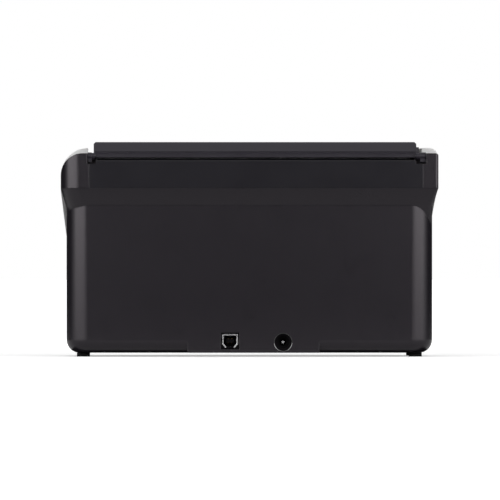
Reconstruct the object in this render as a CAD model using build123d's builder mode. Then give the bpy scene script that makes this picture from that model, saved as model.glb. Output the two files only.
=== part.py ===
from build123d import *
import math
import os

# A sheet-fed document scanner, folded shut, as an assembly of its separate pieces.
# Millimetres. +Z is up, the front (user's side) is -Y and the rear, with the sockets, is +Y.
# The origin is on the table, under the middle of the machine.

os.makedirs("parts", exist_ok=True)

# Overall size
WIDTH = 292.0
DEPTH = 160.0
HEIGHT = 166.0
FOOT_H = 3.0
WALL = 2.5

# Casing: a lower body, a wider head, and a slanted belt between them
LOWER_HALF = 141.5
LOWER_REAR = 73.5
FRONT_Y = -78.0
HEAD_HALF = WIDTH / 2
HEAD_REAR = DEPTH / 2
HEAD_TOP = 157.3
COVER_TOP = 161.5
LOWER_CORNER_R = 16.0
HEAD_CORNER_R = 14.0
FRONT_CORNER_R = 10.0
BOTTOM_R = 10.0
ROUND_SHOULDER_R = 17.0
SQUARE_SHOULDER_R = 2.0
NOSE_R = 12.0
BELT_LOWER_REAR_Z = 117.0
BELT_LOWER_FRONT_Z = 88.0
BELT_UPPER_REAR_Z = 130.4
BELT_UPPER_FRONT_Z = 125.0
# the belt's rear corners, right and left, and how it fades into the lower body under its edge
BELT_CORNER_R = (13.5, 3.0)
BELT_FADE = 27.0
BELT_FADE_REAR = 53.0
BELT_FADE_SIDE = 0.6
BELT_FADE_FRONT = 1.5
SPLIT_Y = 44.0
PANEL_TOP = 152.0
PAD_X = (-54.0, 48.0)
PAN_HALF = 134.5

# The bay between the two side frames, where the paper runs
FRAME_T = 2.5
RIGHT_FRAME_X = 121.5
LEFT_FRAME_X = -132.5
PATH_X = -4.25
BAY_LEFT = LEFT_FRAME_X + FRAME_T
BAY_RIGHT = RIGHT_FRAME_X
SIDE_GAP = 0.7

# Hinge pockets in the head, open to the rear and the top
RIGHT_POCKET_X = (118.7, 125.6)
LEFT_POCKET_X = (-136.7, -128.2)
POCKET_FLOOR = 149.0
POCKET_FRONT_Y = 68.0
POCKET_WALL_Y = (POCKET_FRONT_Y - 2.0, POCKET_FRONT_Y)

# Input tray
TRAY_AXIS_Y = 75.0
TRAY_AXIS_Z = 155.0
TRAY_AXIS = (TRAY_AXIS_Y, TRAY_AXIS_Z)
TRAY_X = (-129.0, 120.5)
TRAY_FRONT = -78.0
TRAY_UNDER = 154.0
TRAY_SKIRT_Z = 151.0
TRAY_SKIN = 1.6
TRAY_WALL = 2.0

# Paper path: a ramp, then a steeper straight run between the rollers
RAMP_TOP = (70.0, 149.0)
RAMP_END = (8.0, 112.0)
NIP = (3.0, 108.0)
PATH_T = (-0.587, -0.809)
PATH_N = (-0.809, 0.587)
SHEET_HALF = 109.0

# Front cover pivot
COVER_PIVOT = (-60.0, 56.0)
PIN_R = 3.0
RUNNING = 0.05

# Rollers and gears, all on axes along X
SHAFT_R = 3.0
ROLLER_R = 8.0
IDLER_R = 6.0
PICK_R = 11.0
BRAKE_R = 9.0
NIP_GAP = 0.3
FEED_S = 26.0
EJECT_S = 62.0
PICK_AT = (10.2, 99.7)
BRAKE_AT = (-3.1, 115.0)
FINE_GEAR_X = (126.0, 131.0)
WIDE_GEAR_X = (132.0, 137.0)
MODULE = 1.0
TOOTH_FILL = 0.80
TIP_H = 0.75
ROOT_H = 1.1


def along_path(s, n):
    """The point s along the straight paper run and n off it, towards the front cover."""
    y = NIP[0] + s * PATH_T[0] + n * PATH_N[0]
    z = NIP[1] + s * PATH_T[1] + n * PATH_N[1]
    return (y, z)


FEED_AT = along_path(FEED_S, -ROLLER_R)
FEED_IDLER_AT = along_path(FEED_S, IDLER_R + NIP_GAP)
EJECT_AT = along_path(EJECT_S, -ROLLER_R)
EJECT_IDLER_AT = along_path(EJECT_S, IDLER_R + NIP_GAP)


def save(part, name):
    """Label one finished piece and write it as its own STEP file."""
    part.label = name
    export_step(part, f"parts/{name}.step")


def box_between(x, y, z, mode=Mode.ADD):
    """A box given by its lowest and highest X, Y and Z, added to the open part."""
    centre = ((x[0] + x[1]) / 2, (y[0] + y[1]) / 2, (z[0] + z[1]) / 2)
    with Locations(centre):
        Box(x[1] - x[0], y[1] - y[0], z[1] - z[0], mode=mode)


def rod(x, at, radius, mode=Mode.ADD):
    """A cylinder along X between two X values, centred on a (y, z) point."""
    with BuildSketch(Plane.YZ.offset(x[0])) as profile:
        with Locations(at):
            Circle(radius)
    extrude(profile.sketch, amount=x[1] - x[0], mode=mode)


def slab(x, points, mode=Mode.ADD):
    """A (y, z) outline carried along X between two X values."""
    with BuildSketch(Plane.YZ.offset(x[0])) as profile:
        with BuildLine():
            Polyline(*points, close=True)
        make_face()
    extrude(profile.sketch, amount=x[1] - x[0], mode=mode)


# Casing envelope


SMALLEST_R = 0.6
# lower than the belt, where the head's and the plan's blanks start
HEAD_START = 80.0
# further than anything in the machine reaches
BIG = 200.0


def tilted_plane(rear_y, rear_z, front_z):
    """The plane through the belt's edge, level across X and tilted from front to rear."""
    slope = (rear_z - front_z) / (rear_y - FRONT_Y)
    return Plane(origin=(0, rear_y, rear_z), x_dir=(1, 0, 0), z_dir=(0, -slope, 1))


BELT_LOWER = tilted_plane(LOWER_REAR, BELT_LOWER_REAR_Z, BELT_LOWER_FRONT_Z)
BELT_UPPER = tilted_plane(HEAD_REAR, BELT_UPPER_REAR_Z, BELT_UPPER_FRONT_Z)
BELT_FOOT = tilted_plane(LOWER_REAR, BELT_LOWER_REAR_Z - BELT_FADE, BELT_LOWER_FRONT_Z - BELT_FADE)


def plan_outline(half, rear, inset, corner_r, front_y=FRONT_Y):
    """The plan of a body: straight sides with round corners, drawn in the open sketch."""
    x = half - inset
    front = front_y + inset
    back = rear - inset
    front_r = FRONT_CORNER_R - inset
    rr, lr = (max(radius - inset, SMALLEST_R) for radius in corner_r)
    with BuildLine() as outline:
        Polyline((-x + front_r, front), (x - front_r, front))
        RadiusArc((x - front_r, front), (x, front + front_r), -front_r)
        Line((x, front + front_r), (x, back - rr))
        RadiusArc((x, back - rr), (x - rr, back), -rr)
        Line((x - rr, back), (-x + lr, back))
        RadiusArc((-x + lr, back), (-x, back - lr), -lr)
        Line((-x, back - lr), (-x, front + front_r))
        RadiusArc((-x, front + front_r), (-x + front_r, front), -front_r)
    make_face(outline.line.edges())


def lower_body(inset):
    """The body under the belt, with its rounded bottom edge and the flat socket pad."""
    with BuildPart() as body:
        with BuildSketch(Plane.XY.offset(FOOT_H + inset)):
            plan_outline(LOWER_HALF, LOWER_REAR, inset, (LOWER_CORNER_R, LOWER_CORNER_R))
        extrude(amount=BELT_LOWER_REAR_Z + 5)
        fillet(body.edges().group_by(Axis.Z)[0], BOTTOM_R - inset)
        box_between(
            (PAD_X[0] + inset, PAD_X[1] - inset),
            (LOWER_REAR - BOTTOM_R - 4, LOWER_REAR - inset),
            (FOOT_H + inset, FOOT_H + BOTTOM_R + 2),
        )
        split(bisect_by=BELT_LOWER, keep=Keep.BOTTOM)
    return body.part


def head_body(inset, raised=0.0):
    """The head over the belt: one round shoulder on the right, one square on the left."""
    top = HEAD_TOP + raised - inset
    side = HEAD_HALF - inset
    big = ROUND_SHOULDER_R + raised - inset
    small = max(SQUARE_SHOULDER_R + raised - inset, SMALLEST_R)
    nose = NOSE_R - inset
    front = FRONT_Y + inset
    with BuildPart() as body:
        with BuildSketch(Plane.XY.offset(HEAD_START)):
            plan_outline(HEAD_HALF, HEAD_REAR, inset, (HEAD_CORNER_R, SQUARE_SHOULDER_R))
        extrude(amount=top - HEAD_START)
        with BuildSketch(Plane.XZ.offset(-BIG)):
            with BuildLine():
                Polyline((-side, top - small), (-side, 0), (side, 0), (side, top - big))
                RadiusArc((side, top - big), (side - big, top), -big)
                Line((side - big, top), (-side + small, top))
                RadiusArc((-side + small, top), (-side, top - small), -small)
            make_face()
        extrude(amount=2 * BIG, mode=Mode.INTERSECT)
        with BuildSketch(Plane.YZ.offset(-BIG)):
            with BuildLine():
                Polyline((front, top - nose), (front, 0), (BIG, 0), (BIG, top), (front + nose, top))
                RadiusArc((front + nose, top), (front, top - nose), -nose)
            make_face()
        extrude(amount=2 * BIG, mode=Mode.INTERSECT)
        split(bisect_by=BELT_UPPER, keep=Keep.TOP)
    return body.part


def facing(part, plane, upward):
    """The flat face that a split left on the plane."""
    sign = 1 if upward else -1
    wanted = plane.z_dir * sign
    return part.faces().filter_by(lambda f: f.normal_at().dot(wanted) > 0.9999).sort_by(Axis.Z)[-upward]


def plan_section(plane, half, rear, front, inset):
    """The face that a tilted plane cuts from a plan with the belt's own rear corners."""
    with BuildPart() as prism:
        with BuildSketch():
            plan_outline(half, rear, inset, BELT_CORNER_R, front)
        extrude(amount=HEAD_TOP)
        split(bisect_by=plane, keep=Keep.BOTTOM)
    return facing(prism.part, plane, True)


def casing(inset):
    """The whole closed outer form, or its hollow when inset by the wall."""
    head = head_body(inset)
    belt_edge = plan_section(BELT_LOWER, LOWER_HALF, LOWER_REAR, FRONT_Y, inset)
    foot_half = LOWER_HALF - BELT_FADE_SIDE
    foot_edge = plan_section(BELT_FOOT, foot_half, BELT_FADE_REAR, FRONT_Y + BELT_FADE_FRONT, inset)
    with BuildPart() as whole:
        add(lower_body(inset))
        add(head)
        loft([belt_edge, facing(head, BELT_UPPER, False)])
        loft([foot_edge, belt_edge])
    return whole.part


outer = casing(0)
inner = casing(WALL)
FLOOR_TOP = FOOT_H + WALL

with BuildPart() as shell:
    add(outer)
    add(inner, mode=Mode.SUBTRACT)
    box_between((BAY_LEFT, BAY_RIGHT), (-BIG, HEAD_REAR - WALL), (140, BIG), Mode.SUBTRACT)
    box_between((BAY_LEFT, BAY_RIGHT), (-BIG, -60), (FLOOR_TOP, BIG), Mode.SUBTRACT)

# Screws come up through the pan into posts on the covers
SIDE_SCREW_AT = [(131.0, -30.0), (131.0, 30.0)]
REAR_SCREW_AT = [(-100.0, 55.0), (95.0, 55.0)]
SCREW_AT = SIDE_SCREW_AT + REAR_SCREW_AT
POST_TOP = 16.0
POST_HALF = 4.0
SCREW_HEAD_R = 2.8
SCREW_HEAD_T = 1.6
SCREW_LENGTH = 12.0
SCREW_R = 1.3
PAN_REAR = 60.0
PAN_RIB_IN = 20.0
PAN_RIB_Y = (-60.0, 44.0)
PAN_RIB_HALF = 3.0
PAN_RIB_H = 0.5

with BuildPart() as bottom_pan:
    add(shell.part)
    box_between((-PAN_HALF, PAN_HALF), (-BIG, PAN_REAR), (0, FLOOR_TOP), Mode.INTERSECT)
    for rib_x in (BAY_LEFT + PAN_RIB_IN, PATH_X, BAY_RIGHT - PAN_RIB_IN):
        rib_span = (rib_x - PAN_RIB_HALF, rib_x + PAN_RIB_HALF)
        box_between(rib_span, PAN_RIB_Y, (FLOOR_TOP, FLOOR_TOP + PAN_RIB_H))
    with Locations(*[(x, y, FOOT_H) for x, y in SCREW_AT]):
        Cylinder(SCREW_HEAD_R, 2 * SCREW_HEAD_T, mode=Mode.SUBTRACT)
        Cylinder(SCREW_R, BIG, mode=Mode.SUBTRACT)
save(bottom_pan.part, "bottom_pan")


def screw_posts(spans):
    """Posts over the pan's screws, each an X and a Y span, kept inside the casing's wall."""
    with BuildPart() as posts:
        for x, y in spans:
            box_between(x, y, (FLOOR_TOP, POST_TOP))
        add(lower_body(WALL / 2), mode=Mode.INTERSECT)
    return posts.part


def behind(part_in, y):
    """Keep what lies behind a plane across the machine."""
    with BuildPart() as piece:
        add(part_in)
        box_between((-BIG, BIG), (y, BIG), (0, BIG), Mode.INTERSECT)
    return piece.part


PANEL_X = (-134.0, 123.6)
SEAM = 0.35
USB_X = 15.1
USB_Z = 12.15
USB_W = 12.0
USB_H = 10.5
JACK_X = -26.0
JACK_Z = 11.2
JACK_HOLE_R = 6.8
HOLE_DEPTH = 12.0
HINGE_PIN_R = 2.0
IN_REAR_WALL = HEAD_REAR - WALL + 0.5
SHOULDER_WALL_Z = (138.0, HEAD_TOP - 1)

with BuildPart() as rear_cover:
    add(behind(shell.part, SPLIT_Y))
    box_between((-PAN_HALF, PAN_HALF), (SPLIT_Y, PAN_REAR), (0, FLOOR_TOP), Mode.SUBTRACT)
    # the shoulders' inner walls, which hold the tray's hinge pins
    right_wall_x = (RIGHT_POCKET_X[1], RIGHT_POCKET_X[1] + WALL)
    left_wall_x = (LEFT_POCKET_X[0] - WALL, LEFT_POCKET_X[0])
    box_between(right_wall_x, (SPLIT_Y, IN_REAR_WALL), SHOULDER_WALL_Z)
    box_between(left_wall_x, (POCKET_FRONT_Y, IN_REAR_WALL), SHOULDER_WALL_Z)
    # pocket floors, and front walls that stay clear of the tray
    for low, high in (RIGHT_POCKET_X, LEFT_POCKET_X):
        floor_y = (POCKET_WALL_Y[0], IN_REAR_WALL)
        box_between((low - 0.5, high + 0.5), floor_y, (POCKET_FLOOR - 2, POCKET_FLOOR))
        box_between((low - 0.8, high + 0.8), POCKET_WALL_Y, (POCKET_FLOOR - 1, TRAY_UNDER - 0.6))
    high_wall_z = (POCKET_FLOOR - 1, HEAD_TOP - 1)
    box_between((TRAY_X[1] + 1.5, RIGHT_POCKET_X[1] + 1), POCKET_WALL_Y, high_wall_z)
    box_between((LEFT_POCKET_X[0] - 1, TRAY_X[0] - 2.5), POCKET_WALL_Y, high_wall_z)
    for low, high in (RIGHT_POCKET_X, LEFT_POCKET_X):
        box_between((low, high), (POCKET_FRONT_Y, BIG), (POCKET_FLOOR, BIG), Mode.SUBTRACT)
    # the upper panel's window between the pockets
    box_between(
        (PANEL_X[0], PANEL_X[1] + SEAM),
        (HEAD_REAR - WALL, BIG),
        (BELT_UPPER_REAR_Z, POCKET_FLOOR),
        Mode.SUBTRACT,
    )
    box_between(
        (LEFT_POCKET_X[1], RIGHT_POCKET_X[0]),
        (HEAD_REAR - WALL, BIG),
        (BELT_UPPER_REAR_Z, BIG),
        Mode.SUBTRACT,
    )
    rod((RIGHT_POCKET_X[1] - 1, RIGHT_POCKET_X[1] + 4), TRAY_AXIS, HINGE_PIN_R + RUNNING, Mode.SUBTRACT)
    rod((LEFT_POCKET_X[0] - 4, LEFT_POCKET_X[0] + 1), TRAY_AXIS, HINGE_PIN_R + RUNNING, Mode.SUBTRACT)
    add(
        screw_posts(
            ((x - POST_HALF, x + POST_HALF), (y - POST_HALF, LOWER_REAR - WALL + 0.5))
            for x, y in REAR_SCREW_AT
        )
    )
    with Locations(*[(x, y, FLOOR_TOP) for x, y in REAR_SCREW_AT]):
        Cylinder(SCREW_R, 2 * POST_TOP, mode=Mode.SUBTRACT)
    # socket holes
    with BuildSketch(Plane.XZ.offset(-HEAD_REAR)) as socket_holes:
        with Locations((USB_X, USB_Z)):
            RectangleRounded(USB_W + 2.2, USB_H + 2.6, 0.6)
        with Locations((JACK_X, JACK_Z)):
            Circle(JACK_HOLE_R)
    extrude(socket_holes.sketch, amount=HOLE_DEPTH, mode=Mode.SUBTRACT)
save(rear_cover.part, "rear_cover")

with BuildPart() as rear_upper_panel:
    add(outer)
    add(inner, mode=Mode.SUBTRACT)
    box_between(PANEL_X, (HEAD_REAR - WALL, BIG), (BELT_UPPER_REAR_Z, PANEL_TOP), Mode.INTERSECT)
    box_between(
        (RIGHT_POCKET_X[0], BIG),
        (POCKET_FRONT_Y, BIG),
        (POCKET_FLOOR, BIG),
        Mode.SUBTRACT,
    )
    box_between((-BIG, LEFT_POCKET_X[1]), (0, BIG), (POCKET_FLOOR, BIG), Mode.SUBTRACT)
    chamfer(rear_upper_panel.edges().filter_by(Axis.X).group_by(Axis.Z)[-1].sort_by(Axis.Y)[-1], 0.8)
save(rear_upper_panel.part, "rear_upper_panel")


def lower_side_cover(sign):
    """One lower side, from the front corner back to the rear cover, with its screw posts."""
    half = (0, BIG) if sign > 0 else (-BIG, 0)
    with BuildPart() as piece:
        add(shell.part)
        box_between(half, (-BIG, SPLIT_Y), (0, BIG), Mode.INTERSECT)
        split(bisect_by=BELT_UPPER, keep=Keep.BOTTOM)
        box_between((-PAN_HALF, PAN_HALF), (-BIG, SPLIT_Y), (0, FLOOR_TOP), Mode.SUBTRACT)
        if sign > 0:
            add(
                screw_posts(
                    ((x - POST_HALF, LOWER_HALF - WALL + 0.5), (y - POST_HALF, y + POST_HALF))
                    for x, y in SIDE_SCREW_AT
                )
            )
            with Locations(*[(x, y, FLOOR_TOP) for x, y in SIDE_SCREW_AT]):
                Cylinder(SCREW_R, 2 * POST_TOP, mode=Mode.SUBTRACT)
    return piece.part


save(lower_side_cover(1), "right_side_cover")
save(lower_side_cover(-1), "left_side_cover")

RAISED = COVER_TOP - HEAD_TOP
RIGHT_COVER_X = 125.0
LEFT_COVER_X = -133.6
LIP_DEPTH = 13.0

head_out = head_body(0, RAISED)
head_in = head_body(WALL, RAISED)


def top_cover(low_x, high_x, lip_x):
    """One light upper side cover, with a lip down its inner edge and a closed rear end."""
    lip_z = (COVER_TOP - LIP_DEPTH, BIG)
    with BuildPart() as inner_faces:
        box_between(lip_x, (-BIG, SPLIT_Y), lip_z)
        box_between((low_x, high_x), (SPLIT_Y - WALL, SPLIT_Y), lip_z)
        add(head_out, mode=Mode.INTERSECT)
    with BuildPart() as piece:
        add(head_out)
        add(head_in, mode=Mode.SUBTRACT)
        box_between((low_x, high_x), (-BIG, SPLIT_Y), (0, BIG), Mode.INTERSECT)
        add(inner_faces.part)
    return piece.part


save(top_cover(RIGHT_COVER_X, BIG, (RIGHT_COVER_X, RIGHT_COVER_X + 2)), "right_top_cover")
save(top_cover(-BIG, LEFT_COVER_X, (LEFT_COVER_X - 2, LEFT_COVER_X)), "left_top_cover")

FOOT_AT = [(x, y) for x in (-128.5, 128.5) for y in (-56.0, 52.0)]
FOOT_W = 10.0
FOOT_D = 14.0
with BuildPart() as rubber_feet:
    with BuildSketch():
        with Locations(*FOOT_AT):
            RectangleRounded(FOOT_W, FOOT_D, 2)
    extrude(amount=FOOT_H)
save(rubber_feet.part, "rubber_feet")

with BuildPart() as casing_screws:
    for x, y in SCREW_AT:
        with Locations((x, y, FOOT_H + SCREW_HEAD_T / 2)):
            Cylinder(SCREW_HEAD_R, SCREW_HEAD_T)
        with Locations((x, y, FOOT_H + SCREW_LENGTH / 2)):
            Cylinder(SCREW_R, SCREW_LENGTH)
save(casing_screws.part, "casing_screws")

# Side frames

FRAME_TOP = 148.0
FIN_TOP = 161.0
BUSH_R = 5.0
BUSHED = (FEED_AT, EJECT_AT, PICK_AT)
MOTOR_PINION_TEETH = 12
WIDE_TEETH = 40
FINE_TEETH = 20
EJECT_IDLER_TEETH = 16
PICK_IDLER_TEETH = 12


def pitch_r(teeth):
    """The pitch radius of a gear."""
    return teeth * MODULE / 2


def third_corner(a, b, reach_a, reach_b, side):
    """The point at one distance from a and another from b, on the chosen side of a to b."""
    span = math.dist(a, b)
    along = (span**2 + reach_a**2 - reach_b**2) / (2 * span)
    off = math.sqrt(reach_a**2 - along**2) * side
    uy = (b[0] - a[0]) / span
    uz = (b[1] - a[1]) / span
    return (a[0] + along * uy + off * uz, a[1] + along * uz - off * uy)


FEED_MESH = pitch_r(FINE_TEETH)
EJECT_GEAR_IDLER_AT = third_corner(
    FEED_AT,
    EJECT_AT,
    FEED_MESH + pitch_r(EJECT_IDLER_TEETH) + 0.001,
    FEED_MESH + pitch_r(EJECT_IDLER_TEETH) + 0.001,
    1,
)
PICK_GEAR_IDLER_AT = third_corner(
    FEED_AT,
    PICK_AT,
    FEED_MESH + pitch_r(PICK_IDLER_TEETH),
    FEED_MESH + pitch_r(PICK_IDLER_TEETH),
    1,
)
MOTOR_ANGLE = math.radians(-30)
MOTOR_REACH = pitch_r(WIDE_TEETH) + pitch_r(MOTOR_PINION_TEETH)
MOTOR_AT = (
    FEED_AT[0] + MOTOR_REACH * math.cos(MOTOR_ANGLE),
    FEED_AT[1] + MOTOR_REACH * math.sin(MOTOR_ANGLE),
)
IDLER_POST_R = 2.0

FRAME_OUTLINE = [
    (-66, FLOOR_TOP),
    (66, FLOOR_TOP),
    (69, 14),
    (69, 112),
    (74, 128),
    (74, FRAME_TOP - 2),
    (62, FRAME_TOP - 2),
    (60, FRAME_TOP),
    (SPLIT_Y - 1, FRAME_TOP),
    (-60, FRAME_TOP),
    (-70, 136),
    (-70, 14),
]
FIN_OUTLINE = [
    (SPLIT_Y - 1, FRAME_TOP - 1),
    (SPLIT_Y - 1, FIN_TOP - 4),
    (SPLIT_Y - 5, FIN_TOP),
    (-58, FIN_TOP),
    (-64, FIN_TOP - 5),
    (-60, FRAME_TOP - 1),
]


FRAME_WINDOW = (22.0, 26.0)
FRAME_WINDOW_AT = [(38.0, 36.0), (-52.0, 118.0)]


def side_frame(x):
    """A side plate's blank, with its bearing holes and two lightening windows."""
    with BuildPart() as plate:
        slab(x, FRAME_OUTLINE)
        add(inner, mode=Mode.INTERSECT)
        for at in BUSHED:
            rod(x, at, BUSH_R, Mode.SUBTRACT)
        rod(x, COVER_PIVOT, PIN_R, Mode.SUBTRACT)
        with BuildSketch(Plane.YZ.offset(x[0])) as window:
            with Locations(*FRAME_WINDOW_AT):
                RectangleRounded(*FRAME_WINDOW, 4)
        extrude(window.sketch, amount=FRAME_T, mode=Mode.SUBTRACT)
    return plate.part


RIGHT_FRAME = (RIGHT_FRAME_X, RIGHT_FRAME_X + FRAME_T)
LEFT_FRAME = (LEFT_FRAME_X, LEFT_FRAME_X + FRAME_T)
FIN_X = (LEFT_FRAME_X + 0.6, LEFT_FRAME_X + 1.8)

with BuildPart() as right_side_frame:
    add(side_frame(RIGHT_FRAME))
    rod(RIGHT_FRAME, MOTOR_AT, 5.0, Mode.SUBTRACT)
    for at in (EJECT_GEAR_IDLER_AT, PICK_GEAR_IDLER_AT):
        rod((RIGHT_FRAME[1], FINE_GEAR_X[1] + 0.4), at, IDLER_POST_R)
save(right_side_frame.part, "right_side_frame")

with BuildPart() as left_side_frame:
    add(side_frame(LEFT_FRAME))
    slab(FIN_X, FIN_OUTLINE)
save(left_side_frame.part, "left_side_frame")

with BuildPart() as shaft_bushes:
    for at in BUSHED:
        for plate in (RIGHT_FRAME, LEFT_FRAME):
            rod(plate, at, BUSH_R)
            rod(plate, at, SHAFT_R + RUNNING, Mode.SUBTRACT)
save(shaft_bushes.part, "shaft_bushes")

with BuildPart() as cover_pivot_pins:
    rod((RIGHT_FRAME_X - 10, RIGHT_FRAME[1]), COVER_PIVOT, PIN_R)
    rod((LEFT_FRAME[0], BAY_LEFT + 10), COVER_PIVOT, PIN_R)
save(cover_pivot_pins.part, "cover_pivot_pins")

with BuildPart() as cross_brace:
    slab((BAY_LEFT, BAY_RIGHT), [(40, 64), (54, 64), (54, 66), (42, 66), (42, 76), (40, 76)])
save(cross_brace.part, "cross_brace")

# Gears


def gear_points(teeth, turn):
    """A spur gear's outline: flat flanks through the involute's root and tip, with backlash."""
    pressure = math.radians(20)
    base_r = pitch_r(teeth) * math.cos(pressure)
    at_pitch = math.tan(pressure) - pressure

    def half_tooth(r):
        roll = math.acos(min(1.0, base_r / r))
        return math.pi / 2 / teeth * TOOTH_FILL + at_pitch - (math.tan(roll) - roll)

    root_r = pitch_r(teeth) - ROOT_H * MODULE
    tip_r = pitch_r(teeth) + TIP_H * MODULE
    points = []
    for tooth in range(teeth):
        middle = math.radians(turn) + 2 * math.pi * tooth / teeth
        for r, side in ((root_r, -1), (tip_r, -1), (tip_r, 1), (root_r, 1)):
            angle = middle + side * half_tooth(r)
            points.append((r * math.cos(angle), r * math.sin(angle)))
    return points


def meshed_turn(teeth, turn, at, mate_teeth, mate_at):
    """The turn that puts the mate's tooth in this gear's gap on the line of centres."""
    line = math.degrees(math.atan2(mate_at[1] - at[1], mate_at[0] - at[0]))
    phase = (line - turn) * teeth / 360
    mate_phase = 0.5 - phase
    return (line + 180 - mate_phase * 360 / mate_teeth) % (360 / mate_teeth)


def gear(teeth, turn, at, x, bore_r, hub_x=None, hub_r=0.0):
    """A spur gear on an axis along X, with an optional hub."""
    with BuildPart() as wheel:
        slab(x, [(at[0] + y, at[1] + z) for y, z in gear_points(teeth, turn)])
        if hub_x:
            rod(hub_x, at, hub_r)
        rod((x[0] - 10, x[1] + 10), at, bore_r, Mode.SUBTRACT)
    return wheel.part


FEED_TURN = 0.0
EJECT_IDLER_TURN = meshed_turn(FINE_TEETH, FEED_TURN, FEED_AT, EJECT_IDLER_TEETH, EJECT_GEAR_IDLER_AT)
EJECT_TURN = meshed_turn(EJECT_IDLER_TEETH, EJECT_IDLER_TURN, EJECT_GEAR_IDLER_AT, FINE_TEETH, EJECT_AT)
PICK_IDLER_TURN = meshed_turn(FINE_TEETH, FEED_TURN, FEED_AT, PICK_IDLER_TEETH, PICK_GEAR_IDLER_AT)
PICK_TURN = meshed_turn(PICK_IDLER_TEETH, PICK_IDLER_TURN, PICK_GEAR_IDLER_AT, FINE_TEETH, PICK_AT)
MOTOR_TURN = meshed_turn(WIDE_TEETH, FEED_TURN, FEED_AT, MOTOR_PINION_TEETH, MOTOR_AT)

with BuildPart() as feed_gear:
    add(gear(FINE_TEETH, FEED_TURN, FEED_AT, FINE_GEAR_X, SHAFT_R, (FINE_GEAR_X[1], WIDE_GEAR_X[0]), 6.0))
    add(gear(WIDE_TEETH, FEED_TURN, FEED_AT, WIDE_GEAR_X, SHAFT_R))
save(feed_gear.part, "feed_gear")
save(gear(FINE_TEETH, EJECT_TURN, EJECT_AT, FINE_GEAR_X, SHAFT_R), "eject_gear")
save(gear(FINE_TEETH, PICK_TURN, PICK_AT, FINE_GEAR_X, SHAFT_R), "pick_gear")
save(
    gear(EJECT_IDLER_TEETH, EJECT_IDLER_TURN, EJECT_GEAR_IDLER_AT, FINE_GEAR_X, IDLER_POST_R + RUNNING),
    "eject_idler_gear",
)
save(
    gear(PICK_IDLER_TEETH, PICK_IDLER_TURN, PICK_GEAR_IDLER_AT, FINE_GEAR_X, IDLER_POST_R + RUNNING),
    "pick_idler_gear",
)

# Motor: its pinion reaches through the frame to the wide gear
MOTOR_LENGTH = 37.0
MOTOR_R = 17.0
MOTOR_SHAFT_R = 1.5
with BuildPart() as drive_motor:
    rod((RIGHT_FRAME_X - MOTOR_LENGTH, RIGHT_FRAME_X - 1), MOTOR_AT, MOTOR_R)
    rod((RIGHT_FRAME_X - 1, RIGHT_FRAME_X), MOTOR_AT, MOTOR_R - 1)
    rod((RIGHT_FRAME_X, RIGHT_FRAME_X + 2), MOTOR_AT, 4.8)
    rod((RIGHT_FRAME_X - 4, RIGHT_FRAME_X + 8), MOTOR_AT, MOTOR_SHAFT_R + RUNNING, Mode.SUBTRACT)
save(drive_motor.part, "drive_motor")

with BuildPart() as motor_pinion:
    add(gear(MOTOR_PINION_TEETH, MOTOR_TURN, MOTOR_AT, WIDE_GEAR_X, MOTOR_SHAFT_R / 2))
    rod((RIGHT_FRAME_X - 4, WIDE_GEAR_X[1]), MOTOR_AT, MOTOR_SHAFT_R)
save(motor_pinion.part, "motor_pinion")

# Shafts and rollers under the paper
SHAFT_END_LEFT = LEFT_FRAME[0] - 3
ROLLER_SPREAD = 40.0
ROLLER_W = 18.0


def rollers(at, radius, hole_r, spread, width):
    """Rubber tyres on a shaft: a pair at each side of the path's middle, or one on it."""
    with BuildPart() as tyres:
        for side in (-1, 1) if spread else (0,):
            middle = PATH_X + side * spread
            ends = (middle - width / 2, middle + width / 2)
            rod(ends, at, radius)
            rod(ends, at, hole_r, Mode.SUBTRACT)
    return tyres.part


for shaft_name, at, shaft_end in (
    ("feed_shaft", FEED_AT, WIDE_GEAR_X[1]),
    ("eject_shaft", EJECT_AT, FINE_GEAR_X[1]),
    ("pick_shaft", PICK_AT, FINE_GEAR_X[1]),
):
    with BuildPart() as shaft:
        rod((SHAFT_END_LEFT, shaft_end), at, SHAFT_R)
    save(shaft.part, shaft_name)

save(rollers(FEED_AT, ROLLER_R, SHAFT_R, ROLLER_SPREAD, ROLLER_W), "feed_rollers")
save(rollers(EJECT_AT, ROLLER_R, SHAFT_R, ROLLER_SPREAD, ROLLER_W), "eject_rollers")
save(rollers(PICK_AT, PICK_R, SHAFT_R, 11.0, ROLLER_W), "pick_rollers")

# Lower paper guide and its scan unit
PATH_PLANE = Plane(origin=(PATH_X, NIP[0], NIP[1]), x_dir=(1, 0, 0), z_dir=(0, PATH_N[0], PATH_N[1]))
GUIDE_OFF = 1.2
GUIDE_T = 2.0
BAY_HALF = (BAY_RIGHT - BAY_LEFT) / 2
SCAN_HALF = 108.0
SCAN_S = 44.0
# half lengths along the run: the windows of rollers, idlers and glasses, then a scan unit and its glass
ROLLER_WINDOW = 8.2
IDLER_WINDOW = 6.4
GLASS_WINDOW = 7.5
UNIT_HALF = 8.5
GLASS_HALF = 7.0
UNIT_DEPTH = 16.0
PICK_WINDOW = 23.0
PATH_S = (4.0, 71.0)
# a cutter that reaches through either guide
THROUGH = 5.0


def path_box(x, s, n, mode=Mode.ADD):
    """A box in the paper run's own frame: X from the path's middle, then s and n."""
    with BuildSketch(PATH_PLANE.offset(n[0])) as face:
        with Locations(((x[0] + x[1]) / 2, -(s[0] + s[1]) / 2)):
            Rectangle(x[1] - x[0], s[1] - s[0])
    extrude(face.sketch, amount=n[1] - n[0], mode=mode)


def mirrored_windows(s_middle, half_s, n):
    """Windows for a pair of rollers."""
    for side in (-1, 1):
        middle = side * ROLLER_SPREAD
        window_x = (middle - ROLLER_W / 2 - 1, middle + ROLLER_W / 2 + 1)
        path_box(window_x, (s_middle - half_s, s_middle + half_s), n, Mode.SUBTRACT)


def scan_window(n):
    """The long window of a scan unit's glass."""
    window_x = (-SCAN_HALF - 1, SCAN_HALF + 1)
    path_box(window_x, (SCAN_S - GLASS_WINDOW, SCAN_S + GLASS_WINDOW), n, Mode.SUBTRACT)


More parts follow.
